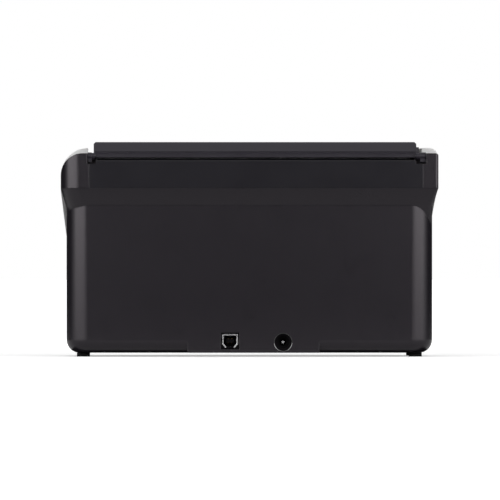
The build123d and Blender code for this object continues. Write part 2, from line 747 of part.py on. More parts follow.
UNIT_S = (SCAN_S - UNIT_HALF, SCAN_S + UNIT_HALF)
GLASS_S = (SCAN_S - GLASS_HALF, SCAN_S + GLASS_HALF)
SCAN_X = (-SCAN_HALF, SCAN_HALF)
LOWER_GLASS_N = (-2.4, -GUIDE_OFF + 0.2)
UPPER_GLASS_N = (GUIDE_OFF - 0.2, 1.8)

with BuildPart() as lower_guide:
    path_box((-BAY_HALF, BAY_HALF), PATH_S, (-GUIDE_OFF - GUIDE_T, -GUIDE_OFF))
    path_box((-PICK_WINDOW, PICK_WINDOW), (0, 13.5), (-THROUGH, 0), Mode.SUBTRACT)
    mirrored_windows(FEED_S, ROLLER_WINDOW, (-THROUGH, 0))
    mirrored_windows(EJECT_S, ROLLER_WINDOW, (-THROUGH, 0))
    scan_window((-THROUGH, 0))
save(lower_guide.part, "lower_guide")

with BuildPart() as lower_scan_unit:
    path_box(SCAN_X, UNIT_S, (-UNIT_DEPTH, -GUIDE_OFF - GUIDE_T))
    path_box(SCAN_X, GLASS_S, (-GUIDE_OFF - GUIDE_T, LOWER_GLASS_N[0]))
save(lower_scan_unit.part, "lower_scan_unit")

with BuildPart() as lower_glass:
    path_box(SCAN_X, GLASS_S, LOWER_GLASS_N)
save(lower_glass.part, "lower_glass")

# Ramp, side guides and their rack and pinion, in the ramp's own frame
RAMP_SPAN = math.dist(RAMP_TOP, RAMP_END)
RAMP_DOWN = ((RAMP_END[0] - RAMP_TOP[0]) / RAMP_SPAN, (RAMP_END[1] - RAMP_TOP[1]) / RAMP_SPAN)
PINION_Y = 40.0
PINION_Z = RAMP_TOP[1] + (PINION_Y - RAMP_TOP[0]) * RAMP_DOWN[1] / RAMP_DOWN[0]
RAMP_PLANE = Plane(
    origin=(PATH_X, PINION_Y, PINION_Z),
    x_dir=(1, 0, 0),
    z_dir=(0, RAMP_DOWN[1], -RAMP_DOWN[0]),
)
RAMP_T = 2.5
GUIDE_TRAVEL = 84.0
GUIDE_INNER = SHEET_HALF
PINION_TEETH = 16
RACK_Y = PINION_TEETH * MODULE / 2
RACK_Z = (-7.0, -3.0)
FOOT_Y = (RACK_Y + 0.8, RACK_Y + 4.2)
FOOT_X = (103.0, 111.5)


def ramp_box(x, y, z, mode=Mode.ADD):
    """A box in the ramp's own frame: X from the path's middle, Y up the slope, Z off it."""
    with BuildSketch(RAMP_PLANE.offset(z[0])) as face:
        with Locations(((x[0] + x[1]) / 2, (y[0] + y[1]) / 2)):
            Rectangle(x[1] - x[0], y[1] - y[0])
    extrude(face.sketch, amount=z[1] - z[0], mode=mode)


def flipped(span):
    """The same span, mirrored through zero."""
    return (-span[1], -span[0])


with BuildPart() as feed_ramp:
    slab(
        (BAY_LEFT, BAY_RIGHT),
        [
            (HEAD_REAR - WALL, 150.2),
            (RAMP_TOP[0], RAMP_TOP[1]),
            RAMP_END,
            (RAMP_END[0] - RAMP_T * RAMP_DOWN[1], RAMP_END[1] + RAMP_T * RAMP_DOWN[0]),
            (RAMP_TOP[0] - RAMP_T * RAMP_DOWN[1], RAMP_TOP[1] + RAMP_T * RAMP_DOWN[0]),
            (HEAD_REAR - WALL, 147.8),
        ],
    )
    slot_x = (FOOT_X[0] - GUIDE_TRAVEL - 0.8, FOOT_X[1] + 0.8)
    slot_y = (FOOT_Y[0] - 0.4, FOOT_Y[1] + 0.4)
    ramp_box(slot_x, slot_y, (-THROUGH, THROUGH), Mode.SUBTRACT)
    ramp_box(flipped(slot_x), flipped(slot_y), (-THROUGH, THROUGH), Mode.SUBTRACT)
    box_between((PATH_X - PICK_WINDOW, PATH_X + PICK_WINDOW), (0, 21), (100, 125), Mode.SUBTRACT)
    for low, high in (RIGHT_POCKET_X, LEFT_POCKET_X):
        box_between((low - 1, high + 1), (POCKET_FRONT_Y - 3, BIG), (POCKET_FLOOR - 4, BIG), Mode.SUBTRACT)
save(feed_ramp.part, "feed_ramp")


def rack_points(inner_x, outer_x):
    """A rack's outline in the ramp's frame: teeth face the pinion, a gap at X zero."""
    pitch = math.pi * MODULE
    pressure = math.tan(math.radians(20))
    at_pitch = pitch / 4 * TOOTH_FILL
    root_half = at_pitch + ROOT_H * pressure
    tip_half = at_pitch - TIP_H * pressure
    first = math.ceil((inner_x + root_half) / pitch - 0.5) + 0.5
    points = [(outer_x, RACK_Y + 4.2), (inner_x, RACK_Y + 4.2), (inner_x, RACK_Y + ROOT_H)]
    place = first
    while place * pitch + root_half < outer_x - 1:
        middle = place * pitch
        points += [
            (middle - root_half, RACK_Y + ROOT_H),
            (middle - tip_half, RACK_Y - TIP_H),
            (middle + tip_half, RACK_Y - TIP_H),
            (middle + root_half, RACK_Y + ROOT_H),
        ]
        place += 1
    return points + [(outer_x, RACK_Y + ROOT_H)]


GUIDE_LIFT = 0.3
GUIDE_BASE_Y = (-24.0, 20.0)
FENCE = [(-28, GUIDE_LIFT), (23, GUIDE_LIFT), (23, 8.5), (13, 14), (-24, 14), (-28, 10)]
FENCE_T = 3.0
RACK_INNER = -14.0


def side_guide(sign):
    """A paper guide: its fence on the ramp, a foot through the slot, and its rack below."""
    with BuildPart() as lower_half:
        with BuildSketch(RAMP_PLANE.offset(RACK_Z[0])) as rack:
            with BuildLine():
                Polyline(*rack_points(RACK_INNER, FOOT_X[1]), close=True)
            make_face()
        extrude(rack.sketch, amount=RACK_Z[1] - RACK_Z[0])
        ramp_box(FOOT_X, FOOT_Y, (RACK_Z[1], GUIDE_LIFT))
    # half a turn about the pinion's axis puts the same rack on its other side
    turn = 0 if sign > 0 else 180
    with BuildPart() as guide:
        add(lower_half.part.rotate(Axis(RAMP_PLANE.origin, RAMP_PLANE.z_dir), turn))
        base_x = sorted((sign * (GUIDE_INNER - 10), sign * (GUIDE_INNER + FENCE_T)))
        ramp_box(base_x, GUIDE_BASE_Y, (GUIDE_LIFT, GUIDE_LIFT + 1.1))
        fence_plane = Plane(
            origin=RAMP_PLANE.from_local_coords(Vector(sign * GUIDE_INNER, 0, 0)),
            x_dir=RAMP_PLANE.y_dir,
            z_dir=(1, 0, 0),
        )
        with BuildSketch(fence_plane) as fence:
            with BuildLine():
                Polyline(*FENCE, close=True)
            make_face()
            chamfer(fence.vertices().group_by(Axis.Z)[-1], 1)
        extrude(fence.sketch, amount=sign * FENCE_T)
    return guide.part


save(side_guide(1), "right_side_guide")
save(side_guide(-1), "left_side_guide")

PINION_POST_R = 2.5
with BuildPart() as guide_pinion:
    with BuildSketch(RAMP_PLANE.offset(RACK_Z[0])) as pinion_face:
        with BuildLine():
            Polyline(*gear_points(PINION_TEETH, 90.0), close=True)
        make_face()
        Circle(PINION_POST_R + RUNNING, mode=Mode.SUBTRACT)
    extrude(pinion_face.sketch, amount=RACK_Z[1] - RACK_Z[0])
save(guide_pinion.part, "guide_pinion")

RETAINER_HALF = 118.0
RETAINER_Y = (-14.5, 14.5)
RETAINER_T = 2.0
RETAINER_TOP = RACK_Z[0] - 0.3
with BuildPart() as rack_retainer:
    ramp_box((-RETAINER_HALF, RETAINER_HALF), RETAINER_Y, (RETAINER_TOP - RETAINER_T, RETAINER_TOP))
    for end in ((RETAINER_HALF - 4, RETAINER_HALF), (-RETAINER_HALF, 4 - RETAINER_HALF)):
        ramp_box(end, RETAINER_Y, (RETAINER_TOP, -RAMP_T))
    with BuildSketch(RAMP_PLANE.offset(RETAINER_TOP)) as post:
        Circle(PINION_POST_R)
    extrude(post.sketch, amount=-RAMP_T - RETAINER_TOP)
save(rack_retainer.part, "rack_retainer")

# Front cover: a light shell outside, a dark paper guide inside
COVER_X = (BAY_LEFT + SIDE_GAP, BAY_RIGHT - SIDE_GAP)
COVER_FACE_Y = -79.0
COVER_SHAPE = [
    (-46, 45),
    (-68, 45),
    (-76, 54),
    (COVER_FACE_Y, 66),
    (COVER_FACE_Y, 136),
    (-77.5, 143),
    (-73.5, 148),
    (-66, 151),
    (-58, 150.5),
    (-30, 131),
    (-4, 127.5),
    (3, 125),
    (3.2, 112.6),
    along_path(71, 1.4),
]
COVER_GUIDE_T = 2.2
BRAKE_ROOM = 14.0
PIVOT_BOSS_R = 6.0


def cover_form(inset):
    """The closed form of the front cover, or its hollow when inset."""
    with BuildPart() as form:
        with BuildSketch(Plane.YZ.offset(COVER_X[0] + inset)) as side:
            with BuildLine():
                Polyline(*COVER_SHAPE, close=True)
            make_face()
            if inset:
                offset(amount=-inset, kind=Kind.INTERSECTION, mode=Mode.REPLACE)
        extrude(side.sketch, amount=COVER_X[1] - COVER_X[0] - 2 * inset)
    return form.part


PANEL_CENTRE = (88.0, 119.0)
PANEL_W = 50.0
PANEL_H = 28.0
PANEL_T = 1.2
SCAN_R = 8.0
SCAN_AT = (97.0, 119.0)
STOP_R = 4.0
STOP_AT = (80.0, 119.0)
LENS_R = 1.6
LENS_AT = (70.0, 119.0)
BUTTON_GAP = 0.35
BUTTON_PROUD = 0.8
BUTTON_FLANGE = 1.6
BUTTON_FLANGE_T = 1.5


def front_face(y):
    """A drawing plane looking at the front cover, with +X to the right and +Z up."""
    return Plane(origin=(0, y, 0), x_dir=(1, 0, 0), z_dir=(0, -1, 0))


def holes_for_controls():
    """The holes of the buttons and the lens, cut in the open sketch."""
    for at, radius in ((SCAN_AT, SCAN_R), (STOP_AT, STOP_R)):
        with Locations(at):
            Circle(radius + BUTTON_GAP, mode=Mode.SUBTRACT)
    with Locations(LENS_AT):
        Circle(LENS_R, mode=Mode.SUBTRACT)


with BuildPart() as front_cover:
    add(cover_form(0))
    add(cover_form(WALL), mode=Mode.SUBTRACT)
    for boss_x in ((COVER_X[0] + 1, COVER_X[0] + 9), (COVER_X[1] - 9, COVER_X[1] - 1)):
        rod(boss_x, COVER_PIVOT, PIVOT_BOSS_R)
    path_box((-BIG, BIG), (-8, 90), (-20, COVER_GUIDE_T), Mode.SUBTRACT)
    # open towards the paper guide, which closes this side
    open_half = (COVER_X[1] - COVER_X[0]) / 2 - WALL
    path_box((-open_half, open_half), (-4.5, 67), (COVER_GUIDE_T, COVER_GUIDE_T + 4), Mode.SUBTRACT)
    rod((-BIG, BIG), COVER_PIVOT, PIN_R + RUNNING, Mode.SUBTRACT)
    with BuildSketch(front_face(COVER_FACE_Y)) as recess:
        with Locations(PANEL_CENTRE):
            RectangleRounded(PANEL_W + 0.2, PANEL_H + 0.2, 4)
    extrude(recess.sketch, amount=-PANEL_T, mode=Mode.SUBTRACT)
    with BuildSketch(front_face(COVER_FACE_Y)) as openings:
        for at, radius in ((SCAN_AT, SCAN_R), (STOP_AT, STOP_R)):
            with Locations(at):
                Circle(radius + BUTTON_GAP)
        with Locations(LENS_AT):
            Circle(LENS_R)
    extrude(openings.sketch, amount=-5, mode=Mode.SUBTRACT)
    rod((PATH_X - BRAKE_ROOM, PATH_X + BRAKE_ROOM), BRAKE_AT, BRAKE_R + 0.8, Mode.SUBTRACT)
    for middle in (PATH_X - ROLLER_SPREAD, PATH_X + ROLLER_SPREAD):
        idler_room = (middle - ROLLER_W / 2 - 1, middle + ROLLER_W / 2 + 1)
        rod(idler_room, EJECT_IDLER_AT, IDLER_R + 0.5, Mode.SUBTRACT)
save(front_cover.part, "front_cover")

with BuildPart() as control_panel:
    with BuildSketch(front_face(COVER_FACE_Y)) as glossy:
        with Locations(PANEL_CENTRE):
            RectangleRounded(PANEL_W, PANEL_H, 4)
        holes_for_controls()
    extrude(glossy.sketch, amount=-PANEL_T)
save(control_panel.part, "control_panel")


def push_button(at, radius):
    """A button with a flange behind the cover's wall that keeps it in."""
    with BuildPart() as button:
        with BuildSketch(front_face(COVER_FACE_Y - BUTTON_PROUD)) as face:
            with Locations(at):
                Circle(radius)
        extrude(face.sketch, amount=-(WALL + 2 * BUTTON_PROUD))
        chamfer(button.edges().filter_by(GeomType.CIRCLE).group_by(Axis.Y)[0], 0.4)
        with BuildSketch(front_face(COVER_FACE_Y + WALL + 0.1)) as flange:
            with Locations(at):
                Circle(radius + BUTTON_FLANGE)
        extrude(flange.sketch, amount=-BUTTON_FLANGE_T)
    return button.part


save(push_button(SCAN_AT, SCAN_R), "scan_button")
save(push_button(STOP_AT, STOP_R), "stop_button")

with BuildPart() as status_lens:
    with BuildSketch(front_face(COVER_FACE_Y - 0.2)) as lens_face:
        with Locations(LENS_AT):
            Circle(LENS_R)
    extrude(lens_face.sketch, amount=-(WALL + 0.6))
save(status_lens.part, "status_lens")

RIB_T = 2.5
IDLER_SHAFT_R = 2.0
IDLER_REACH = 52.0
BRAKE_HALF = 12.0

with BuildPart() as cover_guide:
    add(cover_form(0))
    path_box((-BIG, BIG), (-8, 90), (GUIDE_OFF, COVER_GUIDE_T), Mode.INTERSECT)
    path_box((-BRAKE_ROOM, BRAKE_ROOM), (-BIG, 9), (0, THROUGH), Mode.SUBTRACT)
    mirrored_windows(FEED_S, IDLER_WINDOW, (0, THROUGH))
    mirrored_windows(EJECT_S, IDLER_WINDOW, (0, THROUGH))
    scan_window((0, THROUGH))
    for side in (-1, 1):
        rib_x = sorted((side * (IDLER_REACH - RIB_T / 2), side * (IDLER_REACH + RIB_T / 2)))
        for s in (FEED_S, EJECT_S):
            path_box(rib_x, (s - 4.5, s + 4.5), (GUIDE_OFF, IDLER_R + NIP_GAP + 4))
    for at in (FEED_IDLER_AT, EJECT_IDLER_AT):
        rod((-BIG, BIG), at, IDLER_SHAFT_R + RUNNING, Mode.SUBTRACT)
save(cover_guide.part, "cover_guide")

for idler_name, at in (("feed_idlers", FEED_IDLER_AT), ("eject_idlers", EJECT_IDLER_AT)):
    with BuildPart() as idlers:
        add(rollers(at, IDLER_R, IDLER_SHAFT_R / 2, ROLLER_SPREAD, ROLLER_W))
        rod((PATH_X - IDLER_REACH - 2, PATH_X + IDLER_REACH + 2), at, IDLER_SHAFT_R)
    save(idlers.part, idler_name)

with BuildPart() as brake_roller:
    add(rollers(BRAKE_AT, BRAKE_R, IDLER_SHAFT_R / 2, 0, 2 * BRAKE_HALF))
    rod((PATH_X - BRAKE_HALF - 6, PATH_X + BRAKE_HALF + 6), BRAKE_AT, IDLER_SHAFT_R)
save(brake_roller.part, "brake_roller")

with BuildPart() as brake_bracket:
    for side in (-1, 1):
        arm_x = sorted((PATH_X + side * (BRAKE_HALF + 3), PATH_X + side * (BRAKE_HALF + 5.5)))
        slab(arm_x, [(-6, 112.5), (-0.5, 112.5), (-0.5, 122), (-26, 125), (-26, 121)])
    box_between((PATH_X - BRAKE_HALF - 5.5, PATH_X + BRAKE_HALF + 5.5), (-26, -24), (121, 125))
    rod((-BIG, BIG), BRAKE_AT, IDLER_SHAFT_R + RUNNING, Mode.SUBTRACT)
save(brake_bracket.part, "brake_bracket")

with BuildPart() as upper_scan_unit:
    path_box(SCAN_X, UNIT_S, (COVER_GUIDE_T, UNIT_DEPTH))
    path_box(SCAN_X, GLASS_S, (UPPER_GLASS_N[1], COVER_GUIDE_T))
save(upper_scan_unit.part, "upper_scan_unit")

with BuildPart() as upper_glass:
    path_box(SCAN_X, GLASS_S, UPPER_GLASS_N)
save(upper_glass.part, "upper_glass")

# Input tray: a thin lid whose underside carries the paper when it is open
TRAY_TOP = HEIGHT
TRAY_SLANT = 8.0
# each hinge ear is a round eye with a toe under it, on a thinner neck from the tray's end
EAR_R = 3.0
NECK_R = 2.6
TOE_HALF = 2.5
TOE_Z = (150.5, TRAY_AXIS_Z)
RIGHT_EAR_X = (122.1, RIGHT_POCKET_X[1] - 0.4)
LEFT_EAR_X = (LEFT_POCKET_X[0] + 0.4, -132.0)
EXTENSION_HALF = 74.0
EXTENSION_Z = (157.4, 160.6)

TRAY_SIDE = [
    (TRAY_AXIS_Y + 0.5, TRAY_UNDER),
    (TRAY_AXIS_Y + 0.5, TRAY_UNDER + 2.6),
    (TRAY_AXIS_Y - 0.3, TRAY_UNDER + 3.2),
    (TRAY_AXIS_Y - 0.3, TRAY_UNDER + 4.2),
    (TRAY_AXIS_Y + 0.2, TRAY_UNDER + 4.6),
    (TRAY_AXIS_Y - TRAY_SLANT + 1.5, TRAY_TOP - 0.8),
    (TRAY_AXIS_Y - TRAY_SLANT, TRAY_TOP),
    (TRAY_FRONT + 5, TRAY_TOP),
    (TRAY_FRONT + 1.2, TRAY_TOP - 1.8),
    (TRAY_FRONT, TRAY_TOP - 5),
    (TRAY_FRONT, TRAY_SKIRT_Z),
    (TRAY_FRONT + TRAY_WALL, TRAY_SKIRT_Z),
    (TRAY_FRONT + TRAY_WALL, TRAY_UNDER),
]
TRAY_SOLID_Y = 62.0

with BuildPart() as input_tray:
    slab(TRAY_X, TRAY_SIDE)
    chamfer(input_tray.edges().filter_by(Axis.Y).group_by(Axis.Z)[-1], 1.4)
    box_between(
        (TRAY_X[0] + TRAY_WALL, TRAY_X[1] - TRAY_WALL),
        (TRAY_FRONT + TRAY_WALL, TRAY_SOLID_Y),
        (0, TRAY_TOP - TRAY_SKIN - 0.4),
        Mode.SUBTRACT,
    )
    box_between(
        (PATH_X - EXTENSION_HALF - 0.5, PATH_X + EXTENSION_HALF + 0.5),
        (-90, TRAY_FRONT + TRAY_WALL + 1),
        (EXTENSION_Z[0] - 0.4, EXTENSION_Z[1] + 0.4),
        Mode.SUBTRACT,
    )
    rod((TRAY_X[1] - 1, RIGHT_EAR_X[0]), TRAY_AXIS, NECK_R)
    rod((LEFT_EAR_X[1], TRAY_X[0] + 0.5), TRAY_AXIS, NECK_R)
    for ear_x in (RIGHT_EAR_X, LEFT_EAR_X):
        rod(ear_x, TRAY_AXIS, EAR_R)
        box_between(ear_x, (TRAY_AXIS_Y - TOE_HALF, TRAY_AXIS_Y + TOE_HALF), TOE_Z)
    slab(
        (TRAY_X[0] - 2.0, TRAY_X[0] + 0.5),
        [(68.6, 155), (TRAY_AXIS_Y, 155), (TRAY_AXIS_Y, 158.6), (70.5, 162), (68.6, 162)],
    )
    for pin_x in (RIGHT_POCKET_X, LEFT_POCKET_X):
        rod(pin_x, TRAY_AXIS, HINGE_PIN_R, Mode.SUBTRACT)
save(input_tray.part, "input_tray")

with BuildPart() as tray_hinge_pins:
    rod((RIGHT_POCKET_X[0], RIGHT_POCKET_X[1] + WALL - 0.2), TRAY_AXIS, HINGE_PIN_R)
    rod((LEFT_POCKET_X[0] - WALL + 0.2, LEFT_POCKET_X[1]), TRAY_AXIS, HINGE_PIN_R)
save(tray_hinge_pins.part, "tray_hinge_pins")

with BuildPart() as tray_inner_panel:
    box_between(
        (TRAY_X[0] + TRAY_WALL, TRAY_X[1] - TRAY_WALL),
        (TRAY_FRONT + TRAY_WALL, TRAY_SOLID_Y),
        (TRAY_UNDER, TRAY_UNDER + 2),
    )
    for side in (-1, 1):
        rail_x = sorted((PATH_X + side * (EXTENSION_HALF + 0.4), PATH_X + side * (EXTENSION_HALF + 2.4)))
        box_between(rail_x, (TRAY_FRONT + TRAY_WALL, 40), (TRAY_UNDER + 2, TRAY_TOP - TRAY_SKIN - 0.4))
    for rib in range(5):
        rib_x = PATH_X + (rib - 2) * 30
        rib_z = (TRAY_UNDER + 2, EXTENSION_Z[0] - 0.3)
        box_between((rib_x - 1, rib_x + 1), (TRAY_FRONT + TRAY_WALL, 40), rib_z)
save(tray_inner_panel.part, "tray_inner_panel")

with BuildPart() as tray_extension:
    with BuildSketch(Plane.XY.offset(EXTENSION_Z[0])):
        with Locations((PATH_X, (TRAY_FRONT + 30) / 2)):
            RectangleRounded(2 * EXTENSION_HALF, 30 - TRAY_FRONT, 3)
        with Locations((PATH_X, -10)):
            SlotOverall(60, 12, mode=Mode.SUBTRACT)
    extrude(amount=EXTENSION_Z[1] - EXTENSION_Z[0])
save(tray_extension.part, "tray_extension")

# Output drawer, its extension and the flip-up paper stop
DRAWER_X = (BAY_LEFT + 1.2, BAY_RIGHT - 1.2)
DRAWER_REAR = 50.0
DRAWER_Z = (8.2, 10.4)
DRAWER_FRONT_TOP = 24.0
DRAWER_FRONT_FOOT = 6.0
DRAWER_FRONT_T = 4.0
DRAWER_START = DRAWER_FRONT_T - DEPTH / 2
RAIL_REAR = 42.0
OUT_HALF = 56.0
OUT_Z = (10.9, 13.4)
OUT_Y = (-79.4, 38.0)
OUT_NOTCH = (40.0, 30.0)
STOP_HINGE = (-71.0, 15.6)
STOP_LENGTH = 25.0
STOP_HALF = 19.6
STOP_PIN_R = 1.2
STOP_BARREL_R = 2.0

with BuildPart() as output_drawer:
    box_between(DRAWER_X, (DRAWER_START, DRAWER_REAR), DRAWER_Z)
    for skirt in ((DRAWER_X[0], DRAWER_X[0] + 2), (DRAWER_X[1] - 2, DRAWER_X[1])):
        box_between(skirt, (DRAWER_START, DRAWER_REAR), (FLOOR_TOP + 0.6, 17))
    with BuildSketch(front_face(-DEPTH / 2)) as front_panel:
        middle = ((DRAWER_X[0] + DRAWER_X[1]) / 2, (DRAWER_FRONT_TOP + DRAWER_FRONT_FOOT) / 2)
        with Locations(middle):
            RectangleRounded(DRAWER_X[1] - DRAWER_X[0], DRAWER_FRONT_TOP - DRAWER_FRONT_FOOT, 3)
        with Locations((PATH_X, 15)):
            RectangleRounded(2 * OUT_HALF + 1, 9, 1, mode=Mode.SUBTRACT)
    extrude(front_panel.sketch, amount=-DRAWER_FRONT_T)
    for side in (-1, 1):
        rail_x = sorted((PATH_X + side * (OUT_HALF + 0.4), PATH_X + side * (OUT_HALF + 2.4)))
        box_between(rail_x, (DRAWER_START, RAIL_REAR), (DRAWER_Z[1], OUT_Z[1] + 2))
        lip_x = sorted((PATH_X + side * (OUT_HALF - 2.4), PATH_X + side * (OUT_HALF + 2.4)))
        box_between(lip_x, (-40, RAIL_REAR), (OUT_Z[1] + 0.4, OUT_Z[1] + 2))
save(output_drawer.part, "output_drawer")

with BuildPart() as output_extension:
    with BuildSketch(Plane.XY.offset(OUT_Z[0])):
        with Locations((PATH_X, (OUT_Y[0] + OUT_Y[1]) / 2)):
            RectangleRounded(2 * OUT_HALF, OUT_Y[1] - OUT_Y[0], 2)
        with Locations((PATH_X, -57)):
            RectangleRounded(*OUT_NOTCH, 2, mode=Mode.SUBTRACT)
    extrude(amount=OUT_Z[1] - OUT_Z[0])
    for side in (-1, 1):
        ear_x = sorted((PATH_X + side * (STOP_HALF + 0.8), PATH_X + side * (STOP_HALF + 4.4)))
        box_between(ear_x, (STOP_HINGE[0] - 2.6, STOP_HINGE[0] + 2.6), (OUT_Z[1], STOP_HINGE[1] + 2))
    rod((PATH_X - OUT_HALF, PATH_X + OUT_HALF), STOP_HINGE, STOP_PIN_R + RUNNING, Mode.SUBTRACT)
save(output_extension.part, "output_extension")

with BuildPart() as paper_stop:
    stop_x = (PATH_X - STOP_HALF, PATH_X + STOP_HALF)
    rod(stop_x, STOP_HINGE, STOP_BARREL_R)
    box_between(
        stop_x,
        (STOP_HINGE[0], STOP_HINGE[0] + STOP_LENGTH),
        (STOP_HINGE[1] - STOP_BARREL_R, STOP_HINGE[1] + 0.4),
    )
    rod((stop_x[0] - 4.4, stop_x[1] + 4.4), STOP_HINGE, STOP_PIN_R)
save(paper_stop.part, "paper_stop")

# Electronics and sockets
BOARD_Y = (55.0, 56.6)
CHIP_Y = (BOARD_Y[1], BOARD_Y[1] + 2.0)
# each chip's lowest and highest X, then Z
CHIPS = [((-45.0, -23.0), (32.0, 52.0)), ((-5.0, 9.0), (37.0, 51.0)), ((25.0, 35.0), (28.0, 52.0))]
with BuildPart() as main_board:
    box_between((-60, 52), BOARD_Y, (6, 60))
    for chip_x, chip_z in CHIPS:
        box_between(chip_x, CHIP_Y, chip_z)
save(main_board.part, "main_board")

PORT_Y = (BOARD_Y[1], 73.2)
USB_BEVEL = 2.6
USB_WALL = 1.0
USB_DEPTH = 13.0
USB_BACK_T = 2.0


def usb_outline(shrink):
    """The socket's mouth: square above, with bevelled corners below."""
    half_w = USB_W / 2 - shrink
    half_h = USB_H / 2 - shrink
    bevel = USB_BEVEL - shrink * 0.6
    return [
        (half_w, half_h),
        (-half_w, half_h),
        (-half_w, -half_h + bevel),
        (-half_w + bevel, -half_h),
        (half_w - bevel, -half_h),
        (half_w, -half_h + bevel),
    ]


def socket_face(y, x, z):
    """A drawing plane on the rear wall, seen from the front, so +X stays +X."""
    return Plane(origin=(x, y, z), x_dir=(1, 0, 0), z_dir=(0, -1, 0))


with BuildPart() as usb_shell:
    with BuildSketch(socket_face(PORT_Y[1], USB_X, USB_Z)) as usb_outer:
        with BuildLine():
            Polyline(*usb_outline(0), close=True)
        make_face()
    extrude(usb_outer.sketch, amount=PORT_Y[1] - PORT_Y[0])
    with BuildSketch(socket_face(PORT_Y[1], USB_X, USB_Z)) as usb_inner:
        with BuildLine():
            Polyline(*usb_outline(USB_WALL), close=True)
        make_face()
    extrude(usb_inner.sketch, amount=USB_DEPTH, mode=Mode.SUBTRACT)
save(usb_shell.part, "usb_shell")

# the tongue stands on a plate that closes the socket's bottom
TONGUE_HALF_W = 2.9
TONGUE_Z = (USB_Z - 1.4, USB_Z + 1.6)
with BuildPart() as usb_tongue:
    with BuildSketch(socket_face(PORT_Y[1] - USB_DEPTH + USB_BACK_T, USB_X, USB_Z)) as usb_back:
        with BuildLine():
            Polyline(*usb_outline(USB_WALL), close=True)
        make_face()
    extrude(usb_back.sketch, amount=USB_BACK_T)
    box_between(
        (USB_X - TONGUE_HALF_W, USB_X + TONGUE_HALF_W),
        (PORT_Y[1] - USB_DEPTH, PORT_Y[1] - 2),
        TONGUE_Z,
    )
save(usb_tongue.part, "usb_tongue")

JACK_R = 5.6
JACK_CUP_R = 4.9
JACK_CUP_DEPTH = 6.0
JACK_COLLAR = (JACK_HOLE_R - 0.2, JACK_HOLE_R - 0.9)
JACK_COLLAR_DEPTH = 2.0
JACK_BORE_R = 2.8
JACK_BORE_DEPTH = 8.0
JACK_PIN_R = 1.0


def round_at_jack(y, radius, length, mode=Mode.ADD):
    """A cylinder on the power socket's axis, from a face at y towards the front."""
    with BuildSketch(socket_face(y, JACK_X, JACK_Z)) as circle:
        Circle(radius)
    extrude(circle.sketch, amount=length, mode=mode)


JACK_FLOOR_Y = PORT_Y[1] - JACK_CUP_DEPTH
with BuildPart() as power_jack:
    round_at_jack(PORT_Y[1], JACK_R, PORT_Y[1] - PORT_Y[0])
    round_at_jack(PORT_Y[1], JACK_COLLAR[0], JACK_COLLAR_DEPTH)
    round_at_jack(PORT_Y[1], JACK_COLLAR[1], JACK_COLLAR_DEPTH - 0.6, Mode.SUBTRACT)
    round_at_jack(PORT_Y[1], JACK_CUP_R, JACK_CUP_DEPTH, Mode.SUBTRACT)
    round_at_jack(JACK_FLOOR_Y, JACK_BORE_R, JACK_BORE_DEPTH, Mode.SUBTRACT)
save(power_jack.part, "power_jack")

with BuildPart() as jack_pin:
    round_at_jack(JACK_FLOOR_Y - 0.5, JACK_PIN_R, JACK_BORE_DEPTH - 0.5)
save(jack_pin.part, "jack_pin")
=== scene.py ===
import math

import bmesh
import bpy
from mathutils import Matrix, Vector


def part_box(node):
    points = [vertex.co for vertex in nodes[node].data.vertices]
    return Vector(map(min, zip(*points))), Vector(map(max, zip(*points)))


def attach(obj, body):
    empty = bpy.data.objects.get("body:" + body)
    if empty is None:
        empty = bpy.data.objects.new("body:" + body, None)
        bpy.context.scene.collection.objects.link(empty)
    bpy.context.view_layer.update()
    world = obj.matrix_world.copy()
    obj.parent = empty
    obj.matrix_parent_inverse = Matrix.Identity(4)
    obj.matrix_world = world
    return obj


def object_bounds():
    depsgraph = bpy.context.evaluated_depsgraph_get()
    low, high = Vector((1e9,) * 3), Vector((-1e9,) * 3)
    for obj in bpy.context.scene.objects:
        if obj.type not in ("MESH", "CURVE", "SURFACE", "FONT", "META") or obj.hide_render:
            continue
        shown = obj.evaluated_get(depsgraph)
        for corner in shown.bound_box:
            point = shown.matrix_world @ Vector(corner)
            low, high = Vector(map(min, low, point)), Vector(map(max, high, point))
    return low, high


# A sheet-fed document scanner, folded shut and seen from the rear. Metres, +Z up, rear +Y.

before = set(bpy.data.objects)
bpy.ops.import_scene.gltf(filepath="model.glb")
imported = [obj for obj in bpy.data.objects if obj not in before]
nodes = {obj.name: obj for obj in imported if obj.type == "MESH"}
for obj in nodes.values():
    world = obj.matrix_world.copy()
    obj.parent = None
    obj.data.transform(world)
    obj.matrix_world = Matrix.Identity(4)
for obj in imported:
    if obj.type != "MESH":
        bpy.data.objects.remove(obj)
cad_low, cad_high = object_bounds()
slot_of = {name: node.active_material.name for name, node in nodes.items()}
MM = 0.001


# Shader maths

NOISE_ROUGHNESS = 0.55
BEVEL_SAMPLES = 6
# how far a rounded normal leans, as 1 less its cosine, where an edge begins and where it is full
EDGE_FROM = 0.01
EDGE_FULL = 0.25


class Wire:
    """One output socket of a node tree. Sums, differences and products of it add Math nodes."""

    def __init__(self, graph, socket):
        self.graph = graph
        self.socket = socket

    def maths(self, operation, a, b):
        return self.graph.node("ShaderNodeMath", {"operation": operation}, {0: a, 1: b})

    def __add__(self, other):
        return self.maths("ADD", self, other)

    def __radd__(self, other):
        return self.maths("ADD", other, self)

    def __sub__(self, other):
        return self.maths("SUBTRACT", self, other)

    def __rsub__(self, other):
        return self.maths("SUBTRACT", other, self)

    def __mul__(self, other):
        return self.maths("MULTIPLY", self, other)

    def __rmul__(self, other):
        return self.maths("MULTIPLY", other, self)

    def largest(self, other):
        return self.maths("MAXIMUM", self, other)


